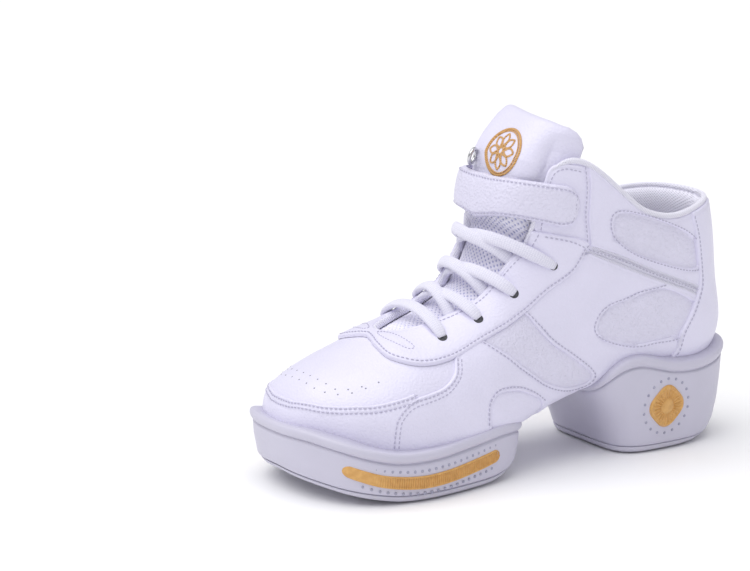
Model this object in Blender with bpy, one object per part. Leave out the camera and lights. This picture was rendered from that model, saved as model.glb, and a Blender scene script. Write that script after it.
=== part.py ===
"""A white high-top dance sneaker for the left foot, empty and fastened, standing on its split sole.

Metres, +Z up, floor at z = 0. +X runs from toe to heel, +Y is the inner (medial) side of the foot, and the
origin lies on the floor under the middle of the shoe. The upper is a hollow leather shell over the form of
the last. Overlays, tongue, strap, laces and soles all take their shape from the same form.
"""

import math

import bmesh
import bpy
import numpy as np
from mathutils import Vector

# Driving sizes of the last and the upper
LENGTH = 0.2446
BALL_WIDTH = 0.086
HEEL_WIDTH = 0.067
COLLAR_HEIGHT = 0.145
SEAT_HEIGHT = 0.038
WALL = 0.002
GAP = 0.0003
TINY_EDGE = 0.00004

# Leather laid over the upper
OVERLAY = 0.0013
STRAP_WIDTH = 0.0220
STRAP_THICKNESS = 0.0030
TONGUE_THICKNESS = 0.0032
TONGUE_PAD = 0.0060
LACE_WIDTH = 0.0056
LACE_THICKNESS = 0.0026
LACE_RISE = 0.0014
LACE_END = 0.13
RING_RADIUS = 0.0036
RING_WIRE = 0.0009
INSOLE = 0.0030
LASTING_MARGIN = 0.011

# The two sole units
LIP = 0.0026
LIP_DEPTH = 0.0050
GROOVE = 0.0014
GROOVE_WIDTH = 0.0012
TREAD = 0.0038
TREAD_GROOVE = 0.0022
TREAD_GROOVE_DEPTH = 0.0014
PIVOT_RADIUS = 0.019
INLAY = 0.0009
BADGE = 0.0014
BADGE_WIDTH = 0.020
BADGE_HEIGHT = 0.020

# The form of the last, a row for each section from the toe tip, over the instep and up to the top line.
# ridge_x and base_x are shares of LENGTH from its middle. The base stands at seat x SEAT_HEIGHT plus
# back x COLLAR_HEIGHT, and the ridge rise x COLLAR_HEIGHT above it. The half width is ball x BALL_WIDTH / 2
# plus heel x HEEL_WIDTH / 2, moved inwards by shift x BALL_WIDTH / 2. widest is a share of the way from ridge
# to base, and crown and floor are the powers of the oval at either end: 2 is round, 6 nearly square.
FORM_COLUMNS = ("ridge_x", "base_x", "rise", "seat", "back", "ball", "heel", "shift", "widest", "crown", "floor")
FORM = (
    (-0.4798, -0.4798, 0.000, 0.66, 0.000, 0.00, 0.00, 0.18, 0.60, 2.6, 4.0),
    (-0.4697, -0.4697, 0.115, 0.57, 0.000, 0.33, 0.00, 0.18, 0.60, 2.5, 4.5),
    (-0.4424, -0.4424, 0.205, 0.50, 0.000, 0.62, 0.00, 0.16, 0.61, 2.4, 5.0),
    (-0.4010, -0.4010, 0.262, 0.43, 0.000, 0.83, 0.00, 0.12, 0.62, 2.3, 5.5),
    (-0.3505, -0.3505, 0.312, 0.39, 0.000, 0.95, 0.00, 0.08, 0.62, 2.2, 6.0),
    (-0.2879, -0.2879, 0.366, 0.37, 0.000, 1.00, 0.00, 0.03, 0.62, 2.0, 6.0),
    (-0.2223, -0.2132, 0.405, 0.38, 0.000, 0.99, 0.00, 0.00, 0.60, 1.9, 6.0),
    (-0.1567, -0.1243, 0.428, 0.47, 0.000, 0.60, 0.42, -0.02, 0.57, 1.9, 6.0),
    (-0.1082, -0.0254, 0.431, 0.64, 0.000, 0.30, 0.71, -0.02, 0.54, 2.0, 5.5),
    (-0.0789, 0.0806, 0.438, 0.83, 0.000, 0.00, 1.03, 0.00, 0.52, 2.2, 5.0),
    (-0.0628, 0.2038, 0.462, 0.97, 0.000, 0.00, 1.02, 0.00, 0.50, 2.4, 4.6),
    (-0.0527, 0.3432, 0.507, 1.01, 0.000, 0.00, 1.03, 0.00, 0.50, 2.5, 4.2),
    (-0.0496, 0.4310, 0.538, 1.07, 0.000, 0.00, 1.04, 0.00, 0.50, 3.0, 3.4),
    (-0.0456, 0.4785, 0.490, 1.08, 0.097, 0.00, 1.06, 0.00, 0.50, 3.3, 2.7),
    (-0.0365, 0.4704, 0.386, 1.08, 0.255, 0.00, 1.07, 0.00, 0.50, 3.4, 2.5),
    (-0.0203, 0.4593, 0.290, 1.08, 0.414, 0.00, 1.08, 0.00, 0.50, 3.4, 2.5),
    (0.0009, 0.4442, 0.214, 1.08, 0.552, 0.00, 1.06, 0.00, 0.50, 3.4, 2.5),
    (0.0291, 0.4331, 0.138, 1.08, 0.683, 0.00, 1.03, 0.00, 0.50, 3.3, 2.5),
    (0.0574, 0.4240, 0.062, 1.08, 0.807, 0.00, 1.00, 0.00, 0.50, 3.2, 2.5),
)
FORM_END = len(FORM) - 1
FORM_ROWS = (0.2, 0.5, 0.85, 1.25, 1.75, 2.35, 3.05, 3.9, 4.8, 5.7, 6.6, 7.5, 8.4, 9.3, 10.2, 11.0, 11.75,
             12.4, 13, 14, 15, 16, 17, FORM_END)
FORM_SIDES = 28

# The throat: half its opening, as the angle round the ridge, at sections of the form
THROAT = ((5.20, 0.02), (5.28, 0.12), (5.45, 0.20), (5.80, 0.28), (6.30, 0.35), (7.50, 0.47), (9.10, 0.59),
          (11.1, 0.70), (12.5, 0.75), (15.0, 0.76), (18.0, 0.78))

# The top line seen from the side, front to back: shares of LENGTH from the middle and of COLLAR_HEIGHT
TOP_LINE = ((-0.1082, 0.900), (-0.0123, 0.925), (0.0221, 0.965), (0.0463, 0.998), (0.0756, 1.004), (0.1059, 0.983),
            (0.1433, 0.935), (0.1806, 0.880), (0.2230, 0.825), (0.2654, 0.800), (0.3078, 0.793), (0.3513, 0.802),
            (0.3937, 0.815), (0.4472, 0.824), (0.5967, 0.826))

# Outlines of the overlays seen from the side, as shares of LENGTH from the middle and of COLLAR_HEIGHT
EYESTAY = ((-0.2980, 0.560), (-0.2960, 0.470), (-0.3061, 0.446), (-0.3041, 0.425), (-0.2849, 0.410), (-0.2516, 0.404),
           (-0.1991, 0.418), (-0.1233, 0.465), (-0.0325, 0.534), (0.0554, 0.623), (0.0948, 0.693), (0.1049, 0.722),
           (0.0988, 0.744), (0.0503, 0.762), (0.0029, 0.784), (-0.0648, 0.900), (-0.2142, 0.900))
TOE_GUARD = ((-0.5990, 0.300), (-0.5030, 0.296), (-0.4636, 0.294), (-0.4404, 0.300), (-0.3970, 0.305), (-0.3617, 0.310),
             (-0.3304, 0.320), (-0.3081, 0.326), (-0.3021, 0.314), (-0.3162, 0.298), (-0.3304, 0.279), (-0.3415, 0.234),
             (-0.3455, 0.153), (-0.3455, -0.10), (-0.5990, -0.10))
BACK_STAY = ((0.5532, 0.850), (0.3220, 0.850), (0.3300, 0.795), (0.3805, 0.719), (0.4020, 0.594), (0.3725, 0.519),
             (0.3310, 0.419), (0.3140, 0.311), (0.3100, 0.200), (0.5532, 0.200))

# Eyelet rows from the toe up: section of the form, and angle round the ridge
EYELETS = ((6.3, 0.52), (7.5, 0.65), (9.1, 0.77), (11.1, 0.88))

# The forefoot unit, a row for each station from the toe to its rear end, LIP inside its outline. x is a share
# of LENGTH from the middle, outer and inner are shares of BALL_WIDTH / 2, floor and lip of SEAT_HEIGHT.
FOREFOOT = (
    # x, outer, inner, floor, lip
    (-0.4894, 0.12, 0.12, 0.205, 0.89),
    (-0.4859, -0.16, 0.40, 0.190, 0.89),
    (-0.4697, -0.46, 0.65, 0.160, 0.88),
    (-0.4374, -0.75, 0.84, 0.105, 0.81),
    (-0.3920, -0.93, 0.96, 0.052, 0.71),
    (-0.3344, -1.01, 1.02, 0.005, 0.63),
    (-0.2627, -1.03, 1.03, 0.00, 0.63),
    (-0.1773, -0.96, 0.98, 0.00, 0.685),
    (-0.1082, -0.87, 0.90, 0.012, 0.73),
    (-0.0597, -0.74, 0.77, 0.08, 0.71),
    (-0.0431, -0.50, 0.54, 0.14, 0.68),
    (-0.0370, -0.24, 0.28, 0.17, 0.66),
    (-0.0348, 0.02, 0.02, 0.18, 0.66),
)

# The heel unit, a row for each level from the floor up, LIP inside its outline. front and back are shares of
# LENGTH from the middle, half is a share of HEEL_WIDTH / 2, and height is a share of SEAT_HEIGHT.
HEEL = (
    # height, front, back, half
    (0.00, 0.2059, 0.4209, 0.87),
    (0.11, 0.2018, 0.4553, 0.91),
    (0.27, 0.1937, 0.4694, 0.94),
    (0.52, 0.1746, 0.4795, 0.97),
    (0.80, 0.1473, 0.4856, 1.00),
    (1.05, 0.1311, 0.4886, 1.02),
    (1.45, 0.1251, 0.4896, 1.03),
)
HEEL_TAPER = 0.06
HEEL_LIP = ((0.0837, 0.68), (0.1079, 0.76), (0.1210, 0.87), (0.1422, 1.00), (0.1624, 1.16), (0.1907, 1.27),
            (0.2250, 1.30), (0.2604, 1.25), (0.3078, 1.17), (0.3664, 1.14), (0.4260, 1.17), (0.4785, 1.24),
            (0.5219, 1.29), (0.5967, 1.34))

# The long inlay in the side of the forefoot unit: its middle line and half height, as shares of LENGTH and
# SEAT_HEIGHT
INLAY_LINE = ((-0.4420, 0.480, 0.030), (-0.4370, 0.465, 0.055), (-0.4150, 0.405, 0.070), (-0.3700, 0.315, 0.074),
              (-0.3051, 0.262, 0.078), (-0.2364, 0.280, 0.080), (-0.1668, 0.335, 0.080), (-0.1300, 0.372, 0.078),
              (-0.1160, 0.387, 0.060), (-0.1132, 0.390, 0.030))

# Finishes
WHITE = (0.80, 0.80, 0.83)
WARM_WHITE = (0.78, 0.78, 0.80)
GOLD = (0.66, 0.35, 0.08)
STEEL = (0.62, 0.62, 0.64)


def spline(rows, at):
    """Values between evenly spaced rows, on a smooth curve through them."""
    rows = np.asarray(rows, float)
    last = len(rows) - 1
    first = np.clip(np.floor(at).astype(int), 0, last - 1)
    t = (at - first)[..., None]
    before = rows[np.maximum(first - 1, 0)]
    start = rows[first]
    end = rows[first + 1]
    after = rows[np.minimum(first + 2, last)]
    leave = (end - before) / 2
    arrive = (after - start) / 2
    return ((2 * t**3 - 3 * t**2 + 1) * start + (t**3 - 2 * t**2 + t) * leave
            + (3 * t**2 - 2 * t**3) * end + (t**3 - t**2) * arrive)


def smooth_path(points, steps, closed=False):
    """Points on a smooth curve through the given ones, steps to each stretch."""
    points = np.asarray(points, float)
    if closed:
        ring = np.concatenate([points[-2:], points, points[:3]])
        return spline(ring, 2 + np.arange(len(points) * steps) / steps)
    return spline(points, np.linspace(0, len(points) - 1, (len(points) - 1) * steps + 1))


def form_rows():
    """The rows of the last in metres, with a mirrored row before the toe so that its tip is round."""
    table = dict(zip(FORM_COLUMNS, np.array(FORM).T))
    base_z = table["seat"] * SEAT_HEIGHT + table["back"] * COLLAR_HEIGHT
    half = table["ball"] * BALL_WIDTH / 2 + table["heel"] * HEEL_WIDTH / 2
    rows = np.stack([
        table["ridge_x"] * LENGTH,
        base_z + table["rise"] * COLLAR_HEIGHT,
        table["base_x"] * LENGTH,
        base_z,
        half,
        table["shift"] * BALL_WIDTH / 2,
        table["widest"],
        table["crown"],
        table["floor"],
    ], axis=1)
    before = rows[1].copy()
    before[[1, 3, 4]] = 2 * rows[0][[1, 3, 4]] - rows[1][[1, 3, 4]]
    return np.concatenate([[before], rows])


FORM_METRES = form_rows()


def surface(section, angle):
    """A point of the last's form. The angle runs from the ridge, at 0, to the base, at pi, and it is positive
    on the inner side of the foot."""
    section, angle = np.broadcast_arrays(np.asarray(section, float), np.asarray(angle, float))
    values = spline(FORM_METRES, section + 1)
    ridge_x, ridge_z, base_x, base_z, half, shift, widest, crown, floor = np.moveaxis(values, -1, 0)
    turn = np.abs(angle)
    power = np.where(turn < math.pi / 2, crown, floor)
    along = np.abs(np.cos(turn))
    across = np.abs(np.sin(turn))
    radius = (along**power + across**power) ** (-1 / power)
    share = np.where(turn < math.pi / 2, widest * (1 - radius * along), widest + (1 - widest) * radius * along)
    x = ridge_x + share * (base_x - ridge_x)
    y = shift + np.sign(np.sin(angle)) * half * radius * across
    z = ridge_z + share * (base_z - ridge_z)
    return np.stack([x, y, z], axis=-1)


def skin(section, angle, offset=0.0):
    """A point at a distance outside the last's form, along its normal."""
    section, angle = np.broadcast_arrays(np.asarray(section, float), np.asarray(angle, float))
    step = 1e-3
    middle = np.clip(section, 0.05, FORM_END - 0.01)
    over = surface(middle + step, angle) - surface(middle - step, angle)
    around = surface(middle, angle + step) - surface(middle, angle - step)
    normal = np.cross(over, around)
    normal /= np.linalg.norm(normal, axis=-1, keepdims=True)
    return surface(section, angle) + normal * np.asarray(offset)[..., None]


def collection(name):
    made = bpy.data.collections.new(name)
    bpy.context.scene.collection.children.link(made)
    return made


def finish(name, colour, roughness, metallic=0.0):
    """A plain material with the colour and gloss of one piece."""
    made = bpy.data.materials.new(name)
    made.use_nodes = True
    shader = made.node_tree.nodes["Principled BSDF"]
    shader.inputs["Base Color"].default_value = (*colour, 1)
    shader.inputs["Roughness"].default_value = roughness
    shader.inputs["Metallic"].default_value = metallic
    return made


def solid(name, points, faces, material=None):
    """An object from points and faces. Without a material it is a cutter, which stays out of the shoe."""
    mesh = bpy.data.meshes.new(name)
    mesh.from_pydata([tuple(point) for point in np.asarray(points, float)], [], faces)
    shape = bmesh.new()
    shape.from_mesh(mesh)
    bmesh.ops.recalc_face_normals(shape, faces=shape.faces)
    if shape.calc_volume(signed=True) < 0:
        bmesh.ops.reverse_faces(shape, faces=shape.faces)
    bmesh.ops.triangulate(shape, faces=shape.faces)
    shape.to_mesh(mesh)
    shape.free()
    made = bpy.data.objects.new(name, mesh)
    if material is None:
        CUTTERS.objects.link(made)
        made.hide_render = True
        made.display_type = "WIRE"
    else:
        SHOE.objects.link(made)
        mesh.materials.append(material)
        mesh.shade_smooth()
        mesh.set_sharp_from_angle(angle=math.radians(40))
    return made


def grid_faces(rows, columns, closed=False, start=0):
    """Quads between rows of points that lie one after another."""
    faces = []
    for i in range(rows - 1):
        for j in range(columns if closed else columns - 1):
            right = (j + 1) % columns
            faces.append((start + i * columns + j, start + i * columns + right,
                          start + (i + 1) * columns + right, start + (i + 1) * columns + j))
    return faces


def last_form(name, offset, material=None):
    """The whole form of the last as one closed solid, grown or shrunk by an offset."""
    rows = np.array(FORM_ROWS)[:, None]
    angles = np.linspace(-math.pi, math.pi, FORM_SIDES, endpoint=False)[None, :]
    rings = skin(rows, angles, offset)
    tip = surface(0, 0) - np.array([offset, 0, 0])
    top = rings[-1].mean(axis=0)
    points = np.concatenate([rings.reshape(-1, 3), [tip, top]])
    faces = grid_faces(len(FORM_ROWS), FORM_SIDES, closed=True)
    tip_index = len(points) - 2
    last = (len(FORM_ROWS) - 1) * FORM_SIDES
    for j in range(FORM_SIDES):
        right = (j + 1) % FORM_SIDES
        faces.append((tip_index, right, j))
        faces.append((tip_index + 1, last + j, last + right))
    return solid(name, points, faces, material)


def sheet(name, section, angle, low, high, material=None):
    """A closed sheet over part of the form, between two offsets. All four are arrays of one shape."""
    section, angle, low, high = np.broadcast_arrays(section, angle, low, high)
    rows, columns = section.shape
    under = skin(section, angle, low).reshape(-1, 3)
    over = skin(section, angle, high).reshape(-1, 3)
    count = rows * columns
    faces = grid_faces(rows, columns) + [face[::-1] for face in grid_faces(rows, columns, start=count)]
    rim = [j for j in range(columns)]
    rim += [i * columns + columns - 1 for i in range(1, rows)]
    rim += [(rows - 1) * columns + j for j in range(columns - 2, -1, -1)]
    rim += [i * columns for i in range(rows - 2, 0, -1)]
    for a, b in zip(rim, rim[1:] + rim[:1]):
        faces.append((a, b, b + count, a + count))
    return solid(name, np.concatenate([under, over]), faces, material)


def prism(name, outline, axis, low, high, material=None):
    """An outline carried along an axis. Seen from the side (axis 1) it holds x and z, from above x and y."""
    outline = np.asarray(outline, float)
    ends = []
    for at in (low, high):
        ends.append(np.insert(outline, axis, at, axis=1))
    count = len(outline)
    faces = [tuple(range(count)), tuple(range(2 * count - 1, count - 1, -1))]
    for j in range(count):
        right = (j + 1) % count
        faces.append((j, right, count + right, count + j))
    return solid(name, np.concatenate(ends), faces, material)


def cut(piece, cutter, operation="DIFFERENCE"):
    """Cuts a piece by another, keeps only what they share, or joins them."""
    made = piece.modifiers.new(cutter.name, "BOOLEAN")
    made.operation = operation
    made.object = cutter
    return piece


def tidy(piece):
    """Welds the tiny edges that cuts leave."""
    made = piece.modifiers.new("tiny edges", "WELD")
    made.merge_threshold = TINY_EDGE
    return piece


def side_view(table):
    """An outline in metres from shares of LENGTH and COLLAR_HEIGHT."""
    return np.array(table) * (LENGTH, COLLAR_HEIGHT)


def forefoot_stations(steps=2):
    """The plan of the forefoot unit: x, outer y, inner y, floor z and lip z for each station."""
    shares = smooth_path(FOREFOOT, steps)
    shares[:, 3] = np.maximum(shares[:, 3], 0)
    scale = (LENGTH, BALL_WIDTH / 2, BALL_WIDTH / 2, SEAT_HEIGHT, SEAT_HEIGHT)
    return shares * scale


def level_block(name, rings, material=None):
    """A block through rings of points, each an outer path and an inner path from toe to heel that meet at both
    ends. Strips across close its floor and its top."""
    stations = len(rings[0][0])
    points = []
    for outer, inner in rings:
        points += list(outer) + list(inner[-2:0:-1])
    ring = 2 * stations - 2
    faces = grid_faces(len(rings), ring, closed=True)
    for start in (0, (len(rings) - 1) * ring):
        faces.append((start, start + 1, start + ring - 1))
        for j in range(1, stations - 2):
            faces.append((start + j, start + j + 1, start + ring - j - 1, start + ring - j))
        faces.append((start + stations - 2, start + stations - 1, start + stations))
    return solid(name, points, faces, material)


def forefoot_rings(levels, grow):
    """Rings of the forefoot unit. A level is its distance outside the plan, how much further it draws in at
    the toe and the rear, and a height worked out from floor and lip."""
    x, outer_y, inner_y, floor, lip = forefoot_stations().T
    middle = (x[0] + x[-1]) / 2
    half_length = (x[-1] - x[0]) / 2
    rings = []
    for out, drawn_in, height in levels:
        moved = out + grow + LIP
        wide = 1 + moved / (BALL_WIDTH / 2)
        long = 1 + (moved - drawn_in) / half_length
        sides = [np.column_stack([middle + (x - middle) * long, y * wide, height(floor, lip)])
                 for y in (outer_y, inner_y)]
        rings.append(sides)
    return rings


def forefoot_block(name, grow=0.0, material=None):
    """The forefoot unit above its tread, before the form of the foot is taken out of it."""
    levels = (
        (-0.0006, 0.0042, lambda floor, lip: floor + TREAD + GAP - grow),
        (0.0006, 0.0034, lambda floor, lip: floor + TREAD + 0.0022),
        (0.0004, 0.0006, lambda floor, lip: lip - LIP_DEPTH - 0.0016),
        (-GROOVE, 0.0000, lambda floor, lip: lip - LIP_DEPTH),
        (0.0010, 0.0000, lambda floor, lip: lip - LIP_DEPTH + 0.0014),
        (0.0010, 0.0000, lambda floor, lip: lip - 0.0010 + grow),
        (0.0000, 0.0000, lambda floor, lip: lip + grow),
    )
    return level_block(name, forefoot_rings(levels, grow), material)


def forefoot_edge():
    """All that the forefoot unit covers of the leather above it."""
    levels = ((0.0, 0.0, lambda floor, lip: floor - SEAT_HEIGHT), (0.0, 0.0, lambda floor, lip: lip + GAP))
    return level_block("forefoot edge", forefoot_rings(levels, 0.0))


def forefoot_tread(name, material):
    """The flat outsole under the forefoot unit, with cross grooves and a ring round the turning spot."""
    levels = (
        (-0.0030, 0.0060, lambda floor, lip: floor),
        (-0.0008, 0.0050, lambda floor, lip: floor + TREAD * 0.45),
        (0.0002, 0.0042, lambda floor, lip: floor + TREAD),
    )
    return level_block(name, forefoot_rings(levels, 0.0), material)


def heel_rings(name, heights, grow=0.0, material=None, steps=12):
    """The heel unit's plan outlines at shares of SEAT_HEIGHT, joined into a block."""
    rows = np.array(HEEL)
    turn = np.linspace(0, math.pi, steps + 1)
    power = np.where(turn < math.pi / 2, 4.2, 2.5)
    along, across = np.abs(np.cos(turn)), np.abs(np.sin(turn))
    radius = (along**power + across**power) ** (-1 / power)
    rings = []
    for height, lift, inset in heights:
        front, back, half = (np.interp(height, rows[:, 0], rows[:, column]) for column in (1, 2, 3))
        front = front * LENGTH - LIP - grow + inset
        back = back * LENGTH + LIP + grow - inset
        half = half * HEEL_WIDTH / 2 + LIP + grow - inset
        middle = front + (back - front) * 0.48
        reach = np.where(turn < math.pi / 2, middle - front, middle - back)
        x = middle - reach * radius * along
        y = half * radius * across * (1 + HEEL_TAPER * np.cos(turn))
        z = np.full_like(x, height * SEAT_HEIGHT + lift)
        rings.append((np.column_stack([x, -y, z]), np.column_stack([x, y, z])))
    return level_block(name, rings, material)


def heel_line(drop):
    """The line of the heel unit's lip, or of a line below it, seen from the side."""
    line = smooth_path(HEEL_LIP, 2) * (LENGTH, SEAT_HEIGHT)
    return line - (0, drop)


def heel_block(name, grow=0.0, material=None):
    """The heel unit above its tread, with its wavy lip, before the form of the foot is taken out of it."""
    tread = TREAD / SEAT_HEIGHT
    heights = [(tread, GAP - grow, 0.0004), (tread + 0.05, 0, 0)]
    heights += [(height, 0, 0) for height in (0.27, 0.52, 0.80, 1.05, 1.45)]
    block = heel_rings(name, heights, grow, material)
    line = heel_line(-min(grow, GAP))
    below = np.concatenate([line, [(line[-1][0], -0.02), (line[0][0], -0.02)]])
    return cut(block, prism(name + " lip line", below, 1, -HEEL_WIDTH, HEEL_WIDTH), "INTERSECT")


def heel_groove():
    """The groove that sets the lip of the heel unit off from its side."""
    top, bottom = heel_line(LIP_DEPTH), heel_line(LIP_DEPTH + GROOVE_WIDTH)
    band = prism("heel groove", np.concatenate([top, bottom[::-1]]), 1, -HEEL_WIDTH, HEEL_WIDTH)
    heights = [(height, 0, 0) for height in (-0.1, 0.27, 0.52, 0.80, 1.05, 1.6)]
    return cut(band, heel_rings("heel groove floor", heights, -GROOVE))


def heel_tread(name, material):
    """The flat outsole under the heel, bevelled at the back."""
    tread = TREAD / SEAT_HEIGHT
    heights = [(0.0, 0, 0.0012), (0.03, 0, 0), (tread, 0, 0)]
    return heel_rings(name, heights, 0.0, material)


def disc(name, centre, radius, low, high, sides=28):
    """A flat round cutter."""
    turn = np.linspace(0, 2 * math.pi, sides, endpoint=False)
    outline = np.column_stack([centre[0] + radius * np.cos(turn), centre[1] + radius * np.sin(turn)])
    return prism(name, outline, 2, low, high)


def joined(name, pieces, material=None):
    """One mesh from several that overlap, joined with Boolean unions."""
    first = pieces[0]
    for other in pieces[1:]:
        cut(first, other, "UNION")
    bpy.context.view_layer.update()
    mesh = bpy.data.meshes.new_from_object(first.evaluated_get(bpy.context.evaluated_depsgraph_get()))
    for piece in pieces:
        bpy.data.objects.remove(piece)
    made = bpy.data.objects.new(name, mesh)
    if material is None:
        CUTTERS.objects.link(made)
        made.hide_render = True
        made.display_type = "WIRE"
    else:
        SHOE.objects.link(made)
        mesh.materials.clear()
        mesh.materials.append(material)
        mesh.shade_smooth()
        mesh.set_sharp_from_angle(angle=math.radians(40))
    return made


def throat_cutter():
    """What is taken out of the upper and the eyestay over the tongue."""
    sections, opening = np.array(THROAT).T
    fine = np.concatenate([sections[:5], np.linspace(6.8, FORM_END, 16)])
    half = np.interp(fine, sections, opening)
    across = np.linspace(-1, 1, 9)
    return sheet("throat cutter", fine[:, None], half[:, None] * across, -2.5 * WALL, 4 * WALL)


def top_line_cutter():
    """What is taken off above the top line."""
    line = side_view(smooth_path(TOP_LINE, 3))
    over = COLLAR_HEIGHT * 1.5
    outline = np.concatenate([line, [(line[-1][0], over), (line[0][0], over)]])
    return prism("top line cutter", outline, 1, -HEEL_WIDTH, HEEL_WIDTH)


def opening_below(name, front, back, outline_of):
    """The opening in the bottom of the upper, inside the lasting margin."""
    x = np.linspace(front, back, 9)
    outer, inner = outline_of(x)
    outline = np.concatenate([np.column_stack([x, outer]), np.column_stack([x[::-1], inner[::-1]])])
    return prism(name, outline, 2, -0.01, SEAT_HEIGHT + 0.0075)


def bottom_width(x):
    """Outer and inner edge of the form's floor at places along the shoe."""
    section = np.linspace(0.1, 12.6, 60)
    floor = surface(section, math.radians(140))
    inner = np.interp(x, floor[:, 0], floor[:, 1])
    other = surface(section, -math.radians(140))
    return np.interp(x, other[:, 0], other[:, 1]), inner


def make_upper(material):
    """The leather shell: one form inside another, open at the throat, the top line and underneath."""
    upper = last_form("upper", 0.0, material)
    cut(upper, last_form("inside of upper", -WALL))
    cut(upper, THROAT_CUTTER)
    cut(upper, top_line_cutter())

    def inside_margin(x):
        outer, inner = bottom_width(x)
        ends = np.sin(np.linspace(0, math.pi, len(x))) ** 0.3
        margin = LASTING_MARGIN
        middle = (outer + inner) / 2
        return middle + (outer + margin - middle) * ends, middle + (inner - margin - middle) * ends

    cut(upper, opening_below("forefoot opening", -0.43 * LENGTH, -0.10 * LENGTH, inside_margin))
    cut(upper, opening_below("heel opening", 0.20 * LENGTH, 0.40 * LENGTH, inside_margin))
    return tidy(upper)


def make_overlay(name, outline, material, *cutters):
    """A leather overlay: the layer between two larger forms, inside an outline seen from the side."""
    piece = last_form(name, GAP + OVERLAY, material)
    cut(piece, last_form(name + " inner face", GAP))
    cut(piece, prism(name + " outline", outline, 1, -BALL_WIDTH, BALL_WIDTH), "INTERSECT")
    for cutter in cutters:
        cut(piece, cutter)
    return tidy(piece)


def make_tongue(material):
    """The tongue: a thin blade under the eyestay that swells into a padded top above the strap."""
    across = np.linspace(-1, 1, 11)[None, :]
    share = np.concatenate([np.linspace(0, 0.5, 8), np.linspace(0.56, 1, 9)])[:, None]
    section = 5.7 + share * (np.interp(across, (-1, -0.8, 0, 0.5, 1), (17.1, 17.4, 17.75, 18, 17.8)) - 5.7)
    half = np.interp(section, (5.7, 6.3, 7.5, 9.1, 11.1, 13, 15, 16.5, 17.6, 18.0),
                     (0.42, 0.50, 0.60, 0.70, 0.82, 0.95, 1.02, 1.02, 0.95, 0.80))
    above_collar = np.clip((section - 16.1) / 0.8, 0, 1)
    angle = half * across
    clear = np.clip(1 - (np.abs(angle) / 0.60) ** 4, 0, 1)
    tucked = 0.0010 * np.clip((np.abs(angle) - 0.5) / 0.2, 0, 1)
    crown = clear + (1 - across**4 - clear) * above_collar
    under_strap = np.interp(section, (11.2, 12.0, 14.5, 15.3, 17.2, 18.0), (0, 1, 1, 2.4, 2.2, 1.4))
    high = -WALL - 2 * GAP + under_strap * 0.0019 * crown - tucked
    pad = np.interp(section, (5.7, 12, 15, 16.5, 17.5, 18.0), (0, 0, 0.35, 1, 0.8, 0.2))
    low = high - TONGUE_THICKNESS - pad * TONGUE_PAD * crown
    return sheet("tongue", section, angle, low, high, material)


def make_insole(material):
    """The foot bed, dished up at its edges, on the turned-in edge of the upper."""
    section = np.array([row for row in FORM_ROWS if 0.6 < row < 12])[:, None]
    share = np.interp(section, (0.85, 1.7, 2.3, 10.2, 11.0, 11.75), (0.60, 0.90, 1.0, 1.0, 0.92, 0.65))
    angle = math.pi + share * np.arange(-3, 4) * 2 * math.pi / FORM_SIDES
    high = -WALL - 4 * GAP
    return sheet("insole", section, angle, high - INSOLE, high, material)


def make_strap(material):
    """The ankle strap, over the tongue from the inner quarter to its rounded end on the outer quarter."""
    across = np.linspace(-1, 1, 5)[None, :]
    turn = np.concatenate([[-1.04, -1.03, -1.005, -0.965], np.linspace(-0.90, 1.0, 17), [1.06, 1.09, 1.10]])[:, None]
    middle = 13.05 + 1.18 * (np.abs(turn) / 1.1) ** 1.5
    spacing = np.interp(np.abs(turn), (0, 1.1), (0.0085, 0.0135))
    ends = np.interp(turn, (-1.04, -1.03, -1.005, -0.965, -0.90, 1.06, 1.09, 1.10),
                     (0.25, 0.50, 0.76, 0.93, 1, 1, 0.97, 0.85))
    section = middle + across * ends * STRAP_WIDTH / 2 / spacing
    bulge = STRAP_THICKNESS * (0.72 + 0.28 * (1 - across**2))
    low = 2 * GAP + np.interp(turn, (-0.7, -0.2, 0.4, 0.9), (0, 0.0004, 0.0018, 0))
    return sheet("strap", section, turn, low, low + bulge, material)


def make_strap_ring(material):
    """The small ring over the strap's upper edge, slanting out of the tongue."""
    centre, outwards, round_ankle = skin((14.9, 14.9, 14.9), (0.32, 0.32, 0.42), (0.0039, 0.0049, 0.0039))
    axis = Vector(outwards - centre).normalized() + Vector(round_ankle - centre).normalized()
    bpy.ops.mesh.primitive_torus_add(major_radius=RING_RADIUS, minor_radius=RING_WIRE, major_segments=16,
                                     minor_segments=6, location=tuple(centre),
                                     rotation=axis.to_track_quat("Z", "Y").to_euler())
    made = bpy.context.object
    made.name = "strap_ring"
    for holder in made.users_collection:
        holder.objects.unlink(made)
    SHOE.objects.link(made)
    made.data.materials.append(material)
    made.data.shade_smooth()
    return made


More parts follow.
